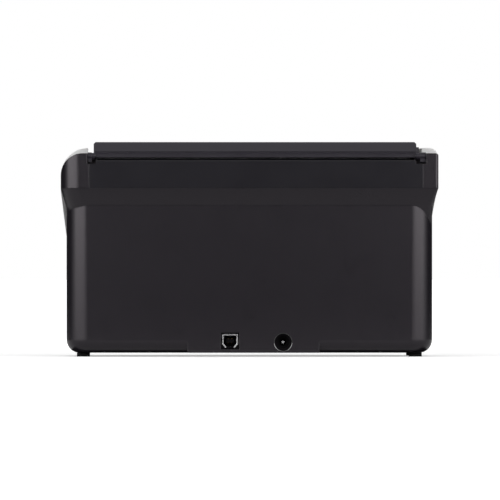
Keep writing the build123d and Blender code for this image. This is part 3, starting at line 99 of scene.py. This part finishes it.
class Graph:
    """A node tree and the one method that adds a node to it."""

    def __init__(self, tree):
        self.tree = tree
        self.tree.nodes.clear()

    def node(self, kind, settings=None, sockets=None, output=0):
        """Add one node: its settings first, then the values or links of its sockets."""
        made = self.tree.nodes.new(kind)
        for key, value in (settings or {}).items():
            setattr(made, key, value)
        for key, value in (sockets or {}).items():
            if isinstance(value, Wire):
                self.tree.links.new(value.socket, made.inputs[key])
            else:
                made.inputs[key].default_value = value
        return Wire(self, made.outputs[output]) if len(made.outputs) else made

    def seen_directly(self):
        """1 for a ray from the camera, from a mirror or through glass, and 0 for any other."""
        camera, mirror, glass = [self.node("ShaderNodeLightPath", output=kind) for kind in
                                 ("Is Camera Ray", "Is Glossy Ray", "Is Transmission Ray")]
        return camera.largest(mirror).largest(glass)


finishes = {}


class Finish(Graph):
    """A named material and the few nodes that most finishes share."""

    def __init__(self, name):
        self.name = name
        self.material = bpy.data.materials.new(name)
        self.material.use_nodes = True
        super().__init__(self.material.node_tree)
        self.place = self.node("ShaderNodeTexCoord", output="Object")

    def noise(self, size_mm, detail=2.0, stretch=(1.0, 1.0, 1.0)):
        """Soft noise from 0 to 1 whose patches are about size_mm wide."""
        stretched = {0: self.place, 1: stretch}
        vector = self.node("ShaderNodeVectorMath", {"operation": "MULTIPLY"}, stretched)
        sockets = {"Vector": vector, "Scale": 1 / (size_mm * MM), "Detail": detail,
                   "Roughness": NOISE_ROUGHNESS}
        return self.node("ShaderNodeTexNoise", None, sockets)

    def cells(self, size_mm, feature="F1", output="Distance"):
        """A pattern of cells about size_mm wide."""
        sockets = {"Vector": self.place, "Scale": 1 / (size_mm * MM)}
        return self.node("ShaderNodeTexVoronoi", {"feature": feature}, sockets, output)

    def between(self, value, low, high):
        """A value's share of the way from low to high, kept between 0 and 1."""
        sockets = {"Value": value, "From Min": low, "From Max": high}
        return self.node("ShaderNodeMapRange", {"clamp": True}, sockets)

    def mix(self, share, a, b):
        """Colour a where share is 0 and colour b where it is 1."""
        return self.node("ShaderNodeMix", {"data_type": "RGBA"}, {0: share, 6: a, 7: b}, 2)

    def rounded(self, radius_mm):
        """The surface's normal as if its edges had this radius."""
        return self.node("ShaderNodeBevel", {"samples": BEVEL_SAMPLES}, {"Radius": radius_mm * MM})

    def edges(self, rounded_normal):
        """1 on a convex or concave edge and 0 on a flat, from the rounded normal."""
        flat = self.node("ShaderNodeNewGeometry", output="Normal")
        sockets = {0: rounded_normal, 1: flat}
        along = self.node("ShaderNodeVectorMath", {"operation": "DOT_PRODUCT"}, sockets, "Value")
        return self.between(1 - along, EDGE_FROM, EDGE_FULL)

    def bump(self, height, depth_mm, normal=None):
        """A normal pushed in and out by a height from 0 to 1."""
        sockets = {"Height": height, "Distance": depth_mm * MM, "Strength": 1.0}
        if normal:
            sockets["Normal"] = normal
        return self.node("ShaderNodeBump", None, sockets)

    def surface(self, **sockets):
        """End the tree in one Principled surface and file the material under its name.

        Underscores in the names of the sockets stand for spaces."""
        named = {key.replace("_", " "): value for key, value in sockets.items()}
        shader = self.node("ShaderNodeBsdfPrincipled", None, named)
        self.node("ShaderNodeOutputMaterial", None, {"Surface": shader})
        finishes[self.name] = self.material


def srgb(red, green, blue):
    """A colour written as it is read off a picture, 0 to 255."""
    def linear(level):
        share = level / 255
        return share / 12.92 if share <= 0.04045 else ((share + 0.055) / 1.055) ** 2.4

    return (linear(red), linear(green), linear(blue), 1.0)


def scaled(colour, factor):
    """A lighter or darker tone of a colour."""
    return tuple(min(1.0, channel * factor) for channel in colour[:3]) + (1.0,)


# Finishes

NO_TINT = (1.0, 1.0, 1.0, 1.0)


def moulded(name, colour, roughness, grain_mm=0.5, depth_mm=0.02, mottle=0.10, wear=0.35,
            edge_mm=0.5, specular=0.5, smear=0.05, tint=NO_TINT):
    """Injection-moulded plastic: a fine eroded grain, faint mottling and edges rubbed lighter."""
    f = Finish(name)
    broad = f.noise(38, detail=3)
    fine = f.noise(grain_mm, detail=3)
    rub = f.noise(9, detail=4)
    rounded = f.rounded(edge_mm)
    worn = f.edges(rounded) * f.between(rub, 0.35, 0.75) * wear
    body = f.mix(broad, scaled(colour, 1 - mottle), scaled(colour, 1 + mottle))
    speck = f.mix(fine, scaled(colour, 0.88), scaled(colour, 1.12))
    toned = f.mix(0.4, body, speck)
    lighter = tuple(channel * 0.75 + 0.11 for channel in colour[:3]) + (1.0,)
    handled = f.between(f.noise(22), 0.45, 0.8)
    f.surface(
        Base_Color=f.mix(worn, toned, lighter),
        Roughness=roughness + fine * 0.07 - handled * smear - worn * 0.08,
        Normal=f.bump(fine, depth_mm, rounded),
        Specular_IOR_Level=specular,
        Specular_Tint=tint,
    )


def glossy(name, colour, roughness=0.08, edge_mm=0.5):
    """Polished plastic, with faint wiping marks and a little dust in its roughness."""
    f = Finish(name)
    wipe = f.noise(6, detail=3, stretch=(0.25, 1.0, 1.0))
    haze = f.between(f.noise(17, detail=3), 0.4, 0.8)
    speck = f.between(f.noise(0.5, detail=1), 0.72, 0.8)
    rounded = f.rounded(edge_mm)
    hazy = f.mix(haze, colour, scaled(colour, 1.25))
    f.surface(
        Base_Color=f.mix(speck * 0.4, hazy, scaled(colour, 3.0)),
        Roughness=roughness + wipe * 0.05 + haze * 0.05 + speck * 0.3,
        Normal=f.bump(wipe, 0.004, rounded),
        Coat_Weight=0.35,
    )


def rubber(name, colour, groove_mm=0.0, specular=0.35):
    """Soft rubber with a powdery bloom; a roller's tread has fine grooves along its axis."""
    f = Finish(name)
    fine = f.noise(0.35, detail=3)
    bloom = f.between(f.noise(4, detail=4), 0.4, 0.85)
    height = fine
    if groove_mm:
        along = f.node("ShaderNodeSeparateXYZ", None, {"Vector": f.place}, "X")
        turn = along * (2 * math.pi / (groove_mm * MM))
        wave = f.node("ShaderNodeMath", {"operation": "SINE"}, {0: turn})
        height = fine * 0.3 + f.between(wave, -0.6, 0.6)
    f.surface(
        Base_Color=f.mix(bloom * 0.5, colour, scaled(colour, 1.9)),
        Roughness=0.72 + bloom * 0.15 + fine * 0.06,
        Normal=f.bump(height, 0.06, f.rounded(0.4)),
        Specular_IOR_Level=specular,
    )


def metal(name, colour, roughness, streak=(1.0, 1.0, 1.0), edge_mm=0.25, tarnish=0.12):
    """Bare or plated metal: fine drawn or turned marks and a slight tarnish."""
    f = Finish(name)
    marks = f.noise(0.4, stretch=streak)
    stain = f.between(f.noise(6, detail=4), 0.45, 0.85)
    drawn = f.mix(marks, scaled(colour, 0.93), colour)
    f.surface(
        Base_Color=f.mix(stain * tarnish * 3, drawn, scaled(colour, 0.7)),
        Metallic=1.0,
        Roughness=roughness + marks * 0.10 + stain * tarnish,
        Normal=f.bump(marks, 0.006, f.rounded(edge_mm)),
    )


def painted(name, colour):
    """Sheet metal with a thin satin powder coat, a little orange peel and rubbed edges."""
    f = Finish(name)
    peel = f.noise(0.9)
    haze = f.noise(15, detail=3)
    rounded = f.rounded(0.3)
    rubbed = f.edges(rounded) * f.between(f.noise(5, detail=3), 0.5, 0.8) * 0.4
    coat = f.mix(haze, scaled(colour, 0.9), scaled(colour, 1.15))
    f.surface(
        Base_Color=f.mix(rubbed, coat, scaled(colour, 4)),
        Roughness=0.48 + peel * 0.08,
        Normal=f.bump(peel, 0.01, rounded),
        Specular_IOR_Level=0.3,
    )


def board_mask(name):
    """A circuit board's green lacquer over copper runs, with plated holes."""
    f = Finish(name)
    cell = f.cells(5.2, "DISTANCE_TO_EDGE")
    runs = 1 - f.between(cell, 0.05, 0.09)
    hole = 1 - f.between(f.cells(3.4), 0.10, 0.13)
    fibre = f.noise(0.5)
    lacquer = f.mix(runs, srgb(16, 70, 44), srgb(34, 104, 62))
    f.surface(
        Base_Color=f.mix(hole, lacquer, srgb(196, 184, 150)),
        Metallic=hole * 0.8,
        Roughness=0.28 + fibre * 0.08,
        Normal=f.bump(runs + hole, 0.03),
    )


def clear_glass(name, tint):
    """Float glass with a few faint smears."""
    f = Finish(name)
    smear = f.between(f.noise(14, detail=3, stretch=(0.2, 1.0, 1.0)), 0.5, 0.85)
    f.surface(
        Base_Color=f.mix(smear * 0.3, tint, scaled(tint, 0.9)),
        Roughness=0.01 + smear * 0.05,
        Transmission_Weight=0.85,
        IOR=1.5,
    )


def light_pipe(name):
    """The status light's milky lens, unlit."""
    f = Finish(name)
    cloud = f.noise(0.8, detail=3)
    f.surface(
        Base_Color=f.mix(cloud, srgb(196, 204, 200), srgb(226, 232, 228)),
        Roughness=0.18 + cloud * 0.08,
        Normal=f.bump(cloud, 0.01, f.rounded(0.3)),
        Subsurface_Weight=0.3,
        Subsurface_Scale=0.002,
    )


BLACK = srgb(22, 20, 24)
WARM_VIOLET = (1.0, 0.935, 0.985, 1.0)


def along_x(share):
    """The stretch of marks that run along X. The share is their width over their length."""
    return (share, 1.0, 1.0)


def along_y(share):
    """The stretch of marks that run along Y."""
    return (1.0, share, 1.0)


moulded("rear_plastic", BLACK, roughness=0.255, mottle=0.06, wear=0.1, edge_mm=0.8, specular=0.24,
        smear=0.012, tint=WARM_VIOLET)
moulded("upper_panel_plastic", srgb(12, 10, 16), roughness=0.36, grain_mm=0.4, wear=0.1,
        specular=0.12)
moulded("pan_plastic", srgb(31, 30, 33), roughness=0.50, grain_mm=0.7, specular=0.3)
moulded("light_plastic", srgb(243, 243, 242), roughness=0.5, mottle=0.015, wear=0.0, specular=0.18)
moulded("tray_plastic", srgb(31, 28, 35), roughness=0.36, mottle=0.06, wear=0.15, specular=0.15)
moulded("tray_inner_plastic", srgb(50, 49, 53), roughness=0.5, mottle=0.06)
moulded("guide_plastic", srgb(44, 44, 47), roughness=0.40, mottle=0.07, wear=0.5)
moulded("button_plastic", srgb(208, 210, 211), roughness=0.28, mottle=0.02, wear=0.0)
moulded("gear_plastic", srgb(224, 221, 210), roughness=0.36, mottle=0.03, wear=0.1, edge_mm=0.15)
# black socket plastic, darkened well below the body's black as painted shade of the deep socket
# recesses; the dark shade plates below take it too
moulded("socket_black_and_shade", srgb(5, 4, 6), roughness=0.6, grain_mm=0.3, depth_mm=0.01, wear=0.0,
        specular=0.03)
glossy("gloss_black", srgb(18, 18, 20))
glossy("rim_black", srgb(14, 13, 15), roughness=0.15, edge_mm=0.03)
rubber("rubber", srgb(44, 44, 46), groove_mm=1.0)
rubber("foot_rubber", srgb(11, 11, 12), specular=0.12)
metal("steel", srgb(186, 188, 191), roughness=0.24, streak=along_x(0.05))
metal("black_steel", srgb(52, 52, 54), roughness=0.34, streak=along_x(0.05))
metal("brass", srgb(205, 170, 96), roughness=0.26, streak=along_x(0.1))
metal("motor_metal", srgb(150, 152, 156), roughness=0.32, streak=along_x(0.08))
metal("bright_metal", srgb(222, 222, 224), roughness=0.16, streak=along_y(0.08), edge_mm=0.15,
      tarnish=0.06)
metal("gold", srgb(150, 118, 58), roughness=0.3, streak=along_y(0.1), edge_mm=0.05, tarnish=0.04)
painted("black_sheet", srgb(26, 26, 28))
clear_glass("scan_glass", srgb(214, 232, 224))
light_pipe("lens")
board_mask("board_green")

# A node that isn't named here takes the finish named like its record slot
FINISH_OF = {
    "rear_cover": "rear_plastic",
    "right_side_cover": "rear_plastic",
    "left_side_cover": "rear_plastic",
    "rear_upper_panel": "upper_panel_plastic",
    "bottom_pan": "pan_plastic",
    "tray_inner_panel": "tray_inner_plastic",
    # the tongue and the jack's insert take the black that is darkened as painted shade
    "usb_tongue": "socket_black_and_shade",
    "power_jack": "socket_black_and_shade",
    "tray_hinge_pins": "black_steel",
}

for node_name, node in nodes.items():
    finish = finishes[FINISH_OF.get(node_name, slot_of[node_name])]
    for material_slot in node.material_slots:
        material_slot.material = finish


# Mesh helpers

def piece(name, mesh, finish, body):
    """A finished mesh as one named piece that rides on a body."""
    made = bpy.data.objects.new(name, mesh)
    bpy.context.scene.collection.objects.link(made)
    made.data.materials.append(finishes[finish])
    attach(made, body)


LATHE_STEPS = 64
# a fold sharper than this stays a crisp edge on a turned piece
SHARP_ANGLE = math.radians(40)


def lathe(profile, centre):
    """A closed (radius, y) profile turned about an axis along Y, as a mesh."""
    mesh = bpy.data.meshes.new("lathe")
    work = bmesh.new()
    rings = []
    for step in range(LATHE_STEPS):
        turn = 2 * math.pi * step / LATHE_STEPS
        spoke = Vector((math.cos(turn), 0, math.sin(turn)))
        rings.append([work.verts.new(centre + spoke * r + Vector((0, y, 0))) for r, y in profile])
    for step in range(LATHE_STEPS):
        here = rings[step]
        there = rings[(step + 1) % LATHE_STEPS]
        for low in range(len(profile)):
            high = (low + 1) % len(profile)
            work.faces.new((here[low], here[high], there[high], there[low]))
    bmesh.ops.recalc_face_normals(work, faces=work.faces)
    work.to_mesh(mesh)
    work.free()
    mesh.shade_smooth()
    mesh.set_sharp_from_angle(angle=SHARP_ANGLE)
    return mesh


def strips(boxes, bevel):
    """Several thin bars in one mesh, each between two corners and with bevelled edges."""
    mesh = bpy.data.meshes.new("strips")
    work = bmesh.new()
    for low, high in boxes:
        size = [h - l for l, h in zip(low, high)]
        middle = Vector([(l + h) / 2 for l, h in zip(low, high)])
        place = Matrix.Translation(middle) @ Matrix.Diagonal((*size, 1))
        bmesh.ops.create_cube(work, size=1, matrix=place)
    bmesh.ops.bevel(work, geom=work.edges[:], offset=bevel, segments=2, affect="EDGES",
                    profile=0.6)
    work.to_mesh(mesh)
    work.free()
    return mesh


def ring_plate(outer, inner, y_range):
    """A plate with a hole, between two y values. Both outlines have as many (x, z) corners."""
    mesh = bpy.data.meshes.new("ring_plate")
    work = bmesh.new()
    loops = [[work.verts.new((x, y, z)) for x, z in outline]
             for y in y_range for outline in (outer, inner)]
    front_outer, front_inner, rear_outer, rear_inner = loops
    for first, second in ((front_outer, front_inner), (rear_inner, rear_outer),
                          (front_inner, rear_inner), (rear_outer, front_outer)):
        for here in range(len(outer)):
            there = (here + 1) % len(outer)
            work.faces.new((first[here], first[there], second[there], second[here]))
    bmesh.ops.recalc_face_normals(work, faces=work.faces)
    work.to_mesh(mesh)
    work.free()
    return mesh


# Data socket: four contacts on the tongue, a black frame that fills the hole round the shell as
# painted shade of that dark gap, and a black lip over the shell's bottom edge, between its
# bevelled corners, as painted shade for that edge's dark reflection

socket_low, socket_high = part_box("usb_shell")
socket_x = (socket_low.x + socket_high.x) / 2
socket_z = (socket_low.z + socket_high.z) / 2
TONGUE_Z = (10.75 * MM, 13.75 * MM)
TONGUE_END_Y = socket_high.y - 2.0 * MM
CONTACT_X = 1.4 * MM
CONTACT_W = 0.9 * MM
CONTACT_T = 0.12 * MM
CONTACT_INSET = 1.8 * MM
CONTACT_LENGTH = 5.5 * MM
CONTACT_BEVEL = 0.03 * MM
contact_end = TONGUE_END_Y - CONTACT_INSET
contact_boxes = []
for side in (-1, 1):
    x = socket_x + side * CONTACT_X
    for z in (TONGUE_Z[0] - CONTACT_T, TONGUE_Z[1]):
        low = (x - CONTACT_W / 2, contact_end - CONTACT_LENGTH, z)
        high = (x + CONTACT_W / 2, contact_end, z + CONTACT_T)
        contact_boxes.append((low, high))
piece("data_contacts", strips(contact_boxes, CONTACT_BEVEL), "gold", "housing")


def bevelled_square(half_w, half_h, bevel):
    """The data socket's outline: square above, with bevelled corners below."""
    corners = [(-half_w, half_h), (half_w, half_h), (half_w, bevel - half_h),
               (half_w - bevel, -half_h), (bevel - half_w, -half_h), (-half_w, bevel - half_h)]
    return [(socket_x + x, socket_z + z) for x, z in corners]


# the frame is painted shade: a near-black plate that fills the gap round the shell, where the
# wall's hole is dark
HOLE_HALF_W = 7.08 * MM
HOLE_HALF_H = 6.53 * MM
HOLE_BEVEL = 0.3 * MM
SHELL_BEVEL = 2.6 * MM
FRAME_GAP = 0.05 * MM
FRAME_Y = (71.2 * MM, 72.3 * MM)
shell_half_w = (socket_high.x - socket_low.x) / 2 + FRAME_GAP
shell_half_h = (socket_high.z - socket_low.z) / 2 + FRAME_GAP
frame_outer = bevelled_square(HOLE_HALF_W, HOLE_HALF_H, HOLE_BEVEL)
frame_inner = bevelled_square(shell_half_w, shell_half_h, SHELL_BEVEL)
socket_shade_frame = ring_plate(frame_outer, frame_inner, FRAME_Y)
piece("data_socket_shade_frame", socket_shade_frame, "socket_black_and_shade", "housing")

# the lip is painted shade: a near-black strip over the shell's bottom edge that stands in for that
# edge's dark reflection
LIP_HALF = 3.0 * MM
LIP_H = 1.0 * MM
LIP_T = 0.15 * MM
LIP_BELOW = 0.1 * MM
LIP_BEVEL = 0.05 * MM
lip_low = (socket_x - LIP_HALF, socket_high.y, socket_low.z - LIP_BELOW)
lip_high = (socket_x + LIP_HALF, socket_high.y + LIP_T, socket_low.z + LIP_H)
socket_shade_lip = strips([(lip_low, lip_high)], LIP_BEVEL)
piece("data_socket_shade_lip", socket_shade_lip, "socket_black_and_shade", "housing")

# Hinge pocket on the -X side: a thin black plate on its low front wall shuts the slit beside it,
# as painted shade where the pocket is dark

SCREEN_X = (-129.0 * MM, -124.3 * MM)
SCREEN_Y = (65.3 * MM, 65.97 * MM)
SCREEN_Z = (148.5 * MM, 153.9 * MM)
SCREEN_BEVEL = 0.1 * MM
pocket_shade_screen = strips([tuple(zip(SCREEN_X, SCREEN_Y, SCREEN_Z))], SCREEN_BEVEL)
piece("pocket_shade_screen", pocket_shade_screen, "socket_black_and_shade", "housing")

# Circuit board: a thin black sheet on the pan hides it from the exit slot, as painted shade of the
# dark interior

SHEET_X = (-62.0 * MM, 54.0 * MM)
SHEET_Y = (54.0 * MM, 54.5 * MM)
SHEET_Z = (6.0 * MM, 61.0 * MM)
SHEET_BEVEL = 0.15 * MM
board_shade_sheet = strips([tuple(zip(SHEET_X, SHEET_Y, SHEET_Z))], SHEET_BEVEL)
piece("board_shade_sheet", board_shade_sheet, "socket_black_and_shade", "housing")

# Power socket: a thin moulded rim whose funnel catches the lamps on its lower half

jack_low, jack_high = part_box("power_jack")
jack_at = Vector(((jack_low.x + jack_high.x) / 2, 0, (jack_low.z + jack_high.z) / 2))
WALL_FACE_Y = 73.5 * MM
HOLE_R = 6.8 * MM
# the rim's (radius, y) corners: its outer wall, then the funnel's slopes, then its inner wall
rim_profile = [
    (HOLE_R + 0.36 * MM, WALL_FACE_Y - 0.05 * MM),
    (HOLE_R + 0.36 * MM, WALL_FACE_Y + 0.13 * MM),
    (HOLE_R + 0.18 * MM, WALL_FACE_Y + 0.09 * MM),
    (HOLE_R + 0.02 * MM, WALL_FACE_Y),
    (HOLE_R - 0.10 * MM, WALL_FACE_Y - 0.14 * MM),
    (HOLE_R - 0.10 * MM, WALL_FACE_Y - 0.30 * MM),
    (HOLE_R + 0.05 * MM, WALL_FACE_Y - 0.30 * MM),
]
piece("power_socket_rim", lathe(rim_profile, jack_at), "rim_black", "housing")


# Stage: floor, lights and camera

FLOOR_LOW = (0.80, 0.80, 0.80, 1)
FLOOR_HIGH = (0.82, 0.82, 0.82, 1)
UNLIT = (0, 0, 0, 1)
WHITE = (1, 1, 1, 1)
# how far from the object the floor's glow starts to rise, and where it is full, in metres
GLOW_FROM = 0.35
GLOW_TO = 1.3
# how much it glows for the camera right beside the object, where it keeps a soft shadow
NEAR_GLOW = (0.36, 0.36, 0.36, 1)
FLOOR_REACH = 20.0


def floor_finish():
    """A white floor that keeps soft shadows near the object and melts into the background."""
    f = Finish("floor_white")
    distance = f.node("ShaderNodeVectorMath", {"operation": "LENGTH"}, {0: f.place}, "Value")
    away = f.between(distance, GLOW_FROM, GLOW_TO)
    f.surface(
        Base_Color=f.mix(f.noise(300), FLOOR_LOW, FLOOR_HIGH),
        Roughness=0.9,
        Specular_IOR_Level=0.1,
        Emission_Color=f.mix(f.seen_directly(), UNLIT, f.mix(away, NEAR_GLOW, WHITE)),
        Emission_Strength=1.0,
    )


floor_mesh = bpy.data.meshes.new("floor")
floor_corners = [(-FLOOR_REACH, -FLOOR_REACH, 0), (FLOOR_REACH, -FLOOR_REACH, 0),
                 (FLOOR_REACH, FLOOR_REACH, 0), (-FLOOR_REACH, FLOOR_REACH, 0)]
floor_mesh.from_pydata(floor_corners, [], [(0, 1, 2, 3)])
floor = bpy.data.objects.new("floor", floor_mesh)
floor_finish()
floor.data.materials.append(finishes["floor_white"])
bpy.context.scene.collection.objects.link(floor)


def softbox(name, at, look_at, size, radiance, unlit):
    """A rectangular studio light of a given brightness. The unlit kind of ray doesn't see it."""
    lamp = bpy.data.lights.new(name, "AREA")
    lamp.shape = "RECTANGLE"
    lamp.size, lamp.size_y = size
    lamp.energy = radiance * size[0] * size[1] * math.pi
    made = bpy.data.objects.new(name, lamp)
    made.location = at
    made.rotation_mode = "QUATERNION"
    made.rotation_quaternion = (Vector(look_at) - Vector(at)).to_track_quat("-Z", "Y")
    made.visible_camera = False
    setattr(made, "visible_" + unlit, False)
    bpy.context.scene.collection.objects.link(made)


# On each side one box makes the highlights of the rounded corners and one lights the surfaces
MIDDLE = (0, 0, 0.08)
SIDE_X, SIDE_Y, SIDE_Z = 0.80, 0.85, 0.44
SHINE_SIZE = (1.34, 0.7)
SHINE_RADIANCE = 7.6
FILL_SIZE = (0.6, 0.7)
FILL_RADIANCE = 5.35
for box_name, side in (("right", 1), ("left", -1)):
    box_at = (side * SIDE_X, SIDE_Y, SIDE_Z)
    softbox("shine_" + box_name, box_at, MIDDLE, SHINE_SIZE, SHINE_RADIANCE, "diffuse")
    softbox("fill_" + box_name, box_at, MIDDLE, FILL_SIZE, FILL_RADIANCE, "glossy")

TOP_AT = (0, 0.1, 1.7)
TOP_SIZE = (1.6, 1.2)
TOP_RADIANCE = 0.95
FRONT_AT = (0.5, -1.6, 0.9)
FRONT_SIZE = (1.2, 1.0)
FRONT_RADIANCE = 1.2
softbox("top_light", TOP_AT, MIDDLE, TOP_SIZE, TOP_RADIANCE, "camera")
softbox("front_light", FRONT_AT, MIDDLE, FRONT_SIZE, FRONT_RADIANCE, "camera")

# Dark cards that only reflections see. Two darken the object's outer edges, one keeps its flat
# rear dark and one lies under it
CARD_TONE = 0.012
CARD_NEAR_X = 0.36
CARD_FAR_X = 1.9
CARD_FRONT_Y = -1.9
CARD_REAR_Y = 0.06
CARD_LIFT = 0.001
CARD_TOP = 1.6
LENS_CARD_Y = (0.21, 2.4)
LENS_CARD_HALF = 0.56
LENS_CARD_TOP = 1.3
FOOT_CARD_HALF = 0.142
FOOT_CARD_Y = (-0.078, 0.0685)


def card_finish():
    """A matt black studio card."""
    f = Finish("card_black")
    fibre = f.noise(4, detail=3)
    dark = (CARD_TONE, CARD_TONE, CARD_TONE, 1)
    f.surface(
        Base_Color=f.mix(fibre, dark, scaled(dark, 1.6)),
        Roughness=0.95,
        Specular_IOR_Level=0.0,
    )


def dark_card(name, corners, sheets):
    """Flat sheets between corners, staged so that only glossy rays meet them."""
    mesh = bpy.data.meshes.new(name)
    mesh.from_pydata(corners, [], sheets)
    card = bpy.data.objects.new(name, mesh)
    card.data.materials.append(finishes["card_black"])
    for ray in ("camera", "diffuse", "transmission", "volume_scatter", "shadow"):
        setattr(card, "visible_" + ray, False)
    bpy.context.scene.collection.objects.link(card)


card_finish()
for card_name, side in (("dark_card_right", 1), ("dark_card_left", -1)):
    near, far = side * CARD_NEAR_X, side * CARD_FAR_X
    # it lies on the floor beside the object and stands up behind it and further out
    card_corners = [
        (near, CARD_FRONT_Y, CARD_LIFT),
        (far, CARD_FRONT_Y, CARD_LIFT),
        (far, CARD_REAR_Y, CARD_LIFT),
        (near, CARD_REAR_Y, CARD_LIFT),
        (near, CARD_FRONT_Y, CARD_TOP),
        (far, CARD_FRONT_Y, CARD_TOP),
        (far, CARD_REAR_Y, CARD_TOP),
    ]
    dark_card(card_name, card_corners, [(0, 1, 2, 3), (0, 4, 5, 1), (1, 5, 6, 2)])

# the lens card lies on the floor on the rear's side and stands up at its far end
lens_near, lens_far = LENS_CARD_Y
lens_rows = [(lens_near, CARD_LIFT), (lens_far, CARD_LIFT), (lens_far, LENS_CARD_TOP)]
lens_corners = [(x, y, z) for y, z in lens_rows for x in (-LENS_CARD_HALF, LENS_CARD_HALF)]
dark_card("dark_card_lens", lens_corners, [(0, 1, 3, 2), (2, 3, 5, 4)])
foot_corners = [(x, y, CARD_LIFT) for y in FOOT_CARD_Y for x in (-FOOT_CARD_HALF, FOOT_CARD_HALF)]
dark_card("dark_card_foot", foot_corners, [(0, 1, 3, 2)])

# The room lights the object at a plain level and is white where it is seen directly
WORLD_LIGHT = 0.42
world = bpy.data.worlds.new("studio")
world.use_nodes = True
bpy.context.scene.world = world
room = Graph(world.node_tree)
lighting = room.node("ShaderNodeBackground", None, {"Color": WHITE, "Strength": WORLD_LIGHT})
seen = room.node("ShaderNodeBackground", None, {"Color": WHITE, "Strength": 1.0})
blend_sockets = {0: room.seen_directly(), 1: lighting, 2: seen}
blend = room.node("ShaderNodeMixShader", None, blend_sockets)
room.node("ShaderNodeOutputWorld", None, {"Surface": blend})

# The camera looks level at the rear through a long lens, from slightly to the +X side
CAMERA_AWAY = 12.0
CAMERA_Z = 0.095
CAMERA_YAW = math.radians(0.5)
FRAME_WIDTH = 0.3864
FRAME_MIDDLE_X = -0.0003
FRAME_MIDDLE_Z = 0.0825
SENSOR = 36.0
camera_data = bpy.data.cameras.new("camera")
camera_data.sensor_width = SENSOR
camera_data.lens = SENSOR * CAMERA_AWAY / FRAME_WIDTH
camera_data.shift_y = (FRAME_MIDDLE_Z - CAMERA_Z) / FRAME_WIDTH
camera = bpy.data.objects.new("camera", camera_data)
look = Vector((-math.sin(CAMERA_YAW), -math.cos(CAMERA_YAW), 0))
camera.location = Vector((FRAME_MIDDLE_X, cad_high.y, CAMERA_Z)) - look * CAMERA_AWAY
camera.rotation_mode = "QUATERNION"
camera.rotation_quaternion = look.to_track_quat("-Z", "Y")
bpy.context.scene.collection.objects.link(camera)
bpy.context.scene.camera = camera

bpy.context.scene.view_settings.view_transform = "Standard"
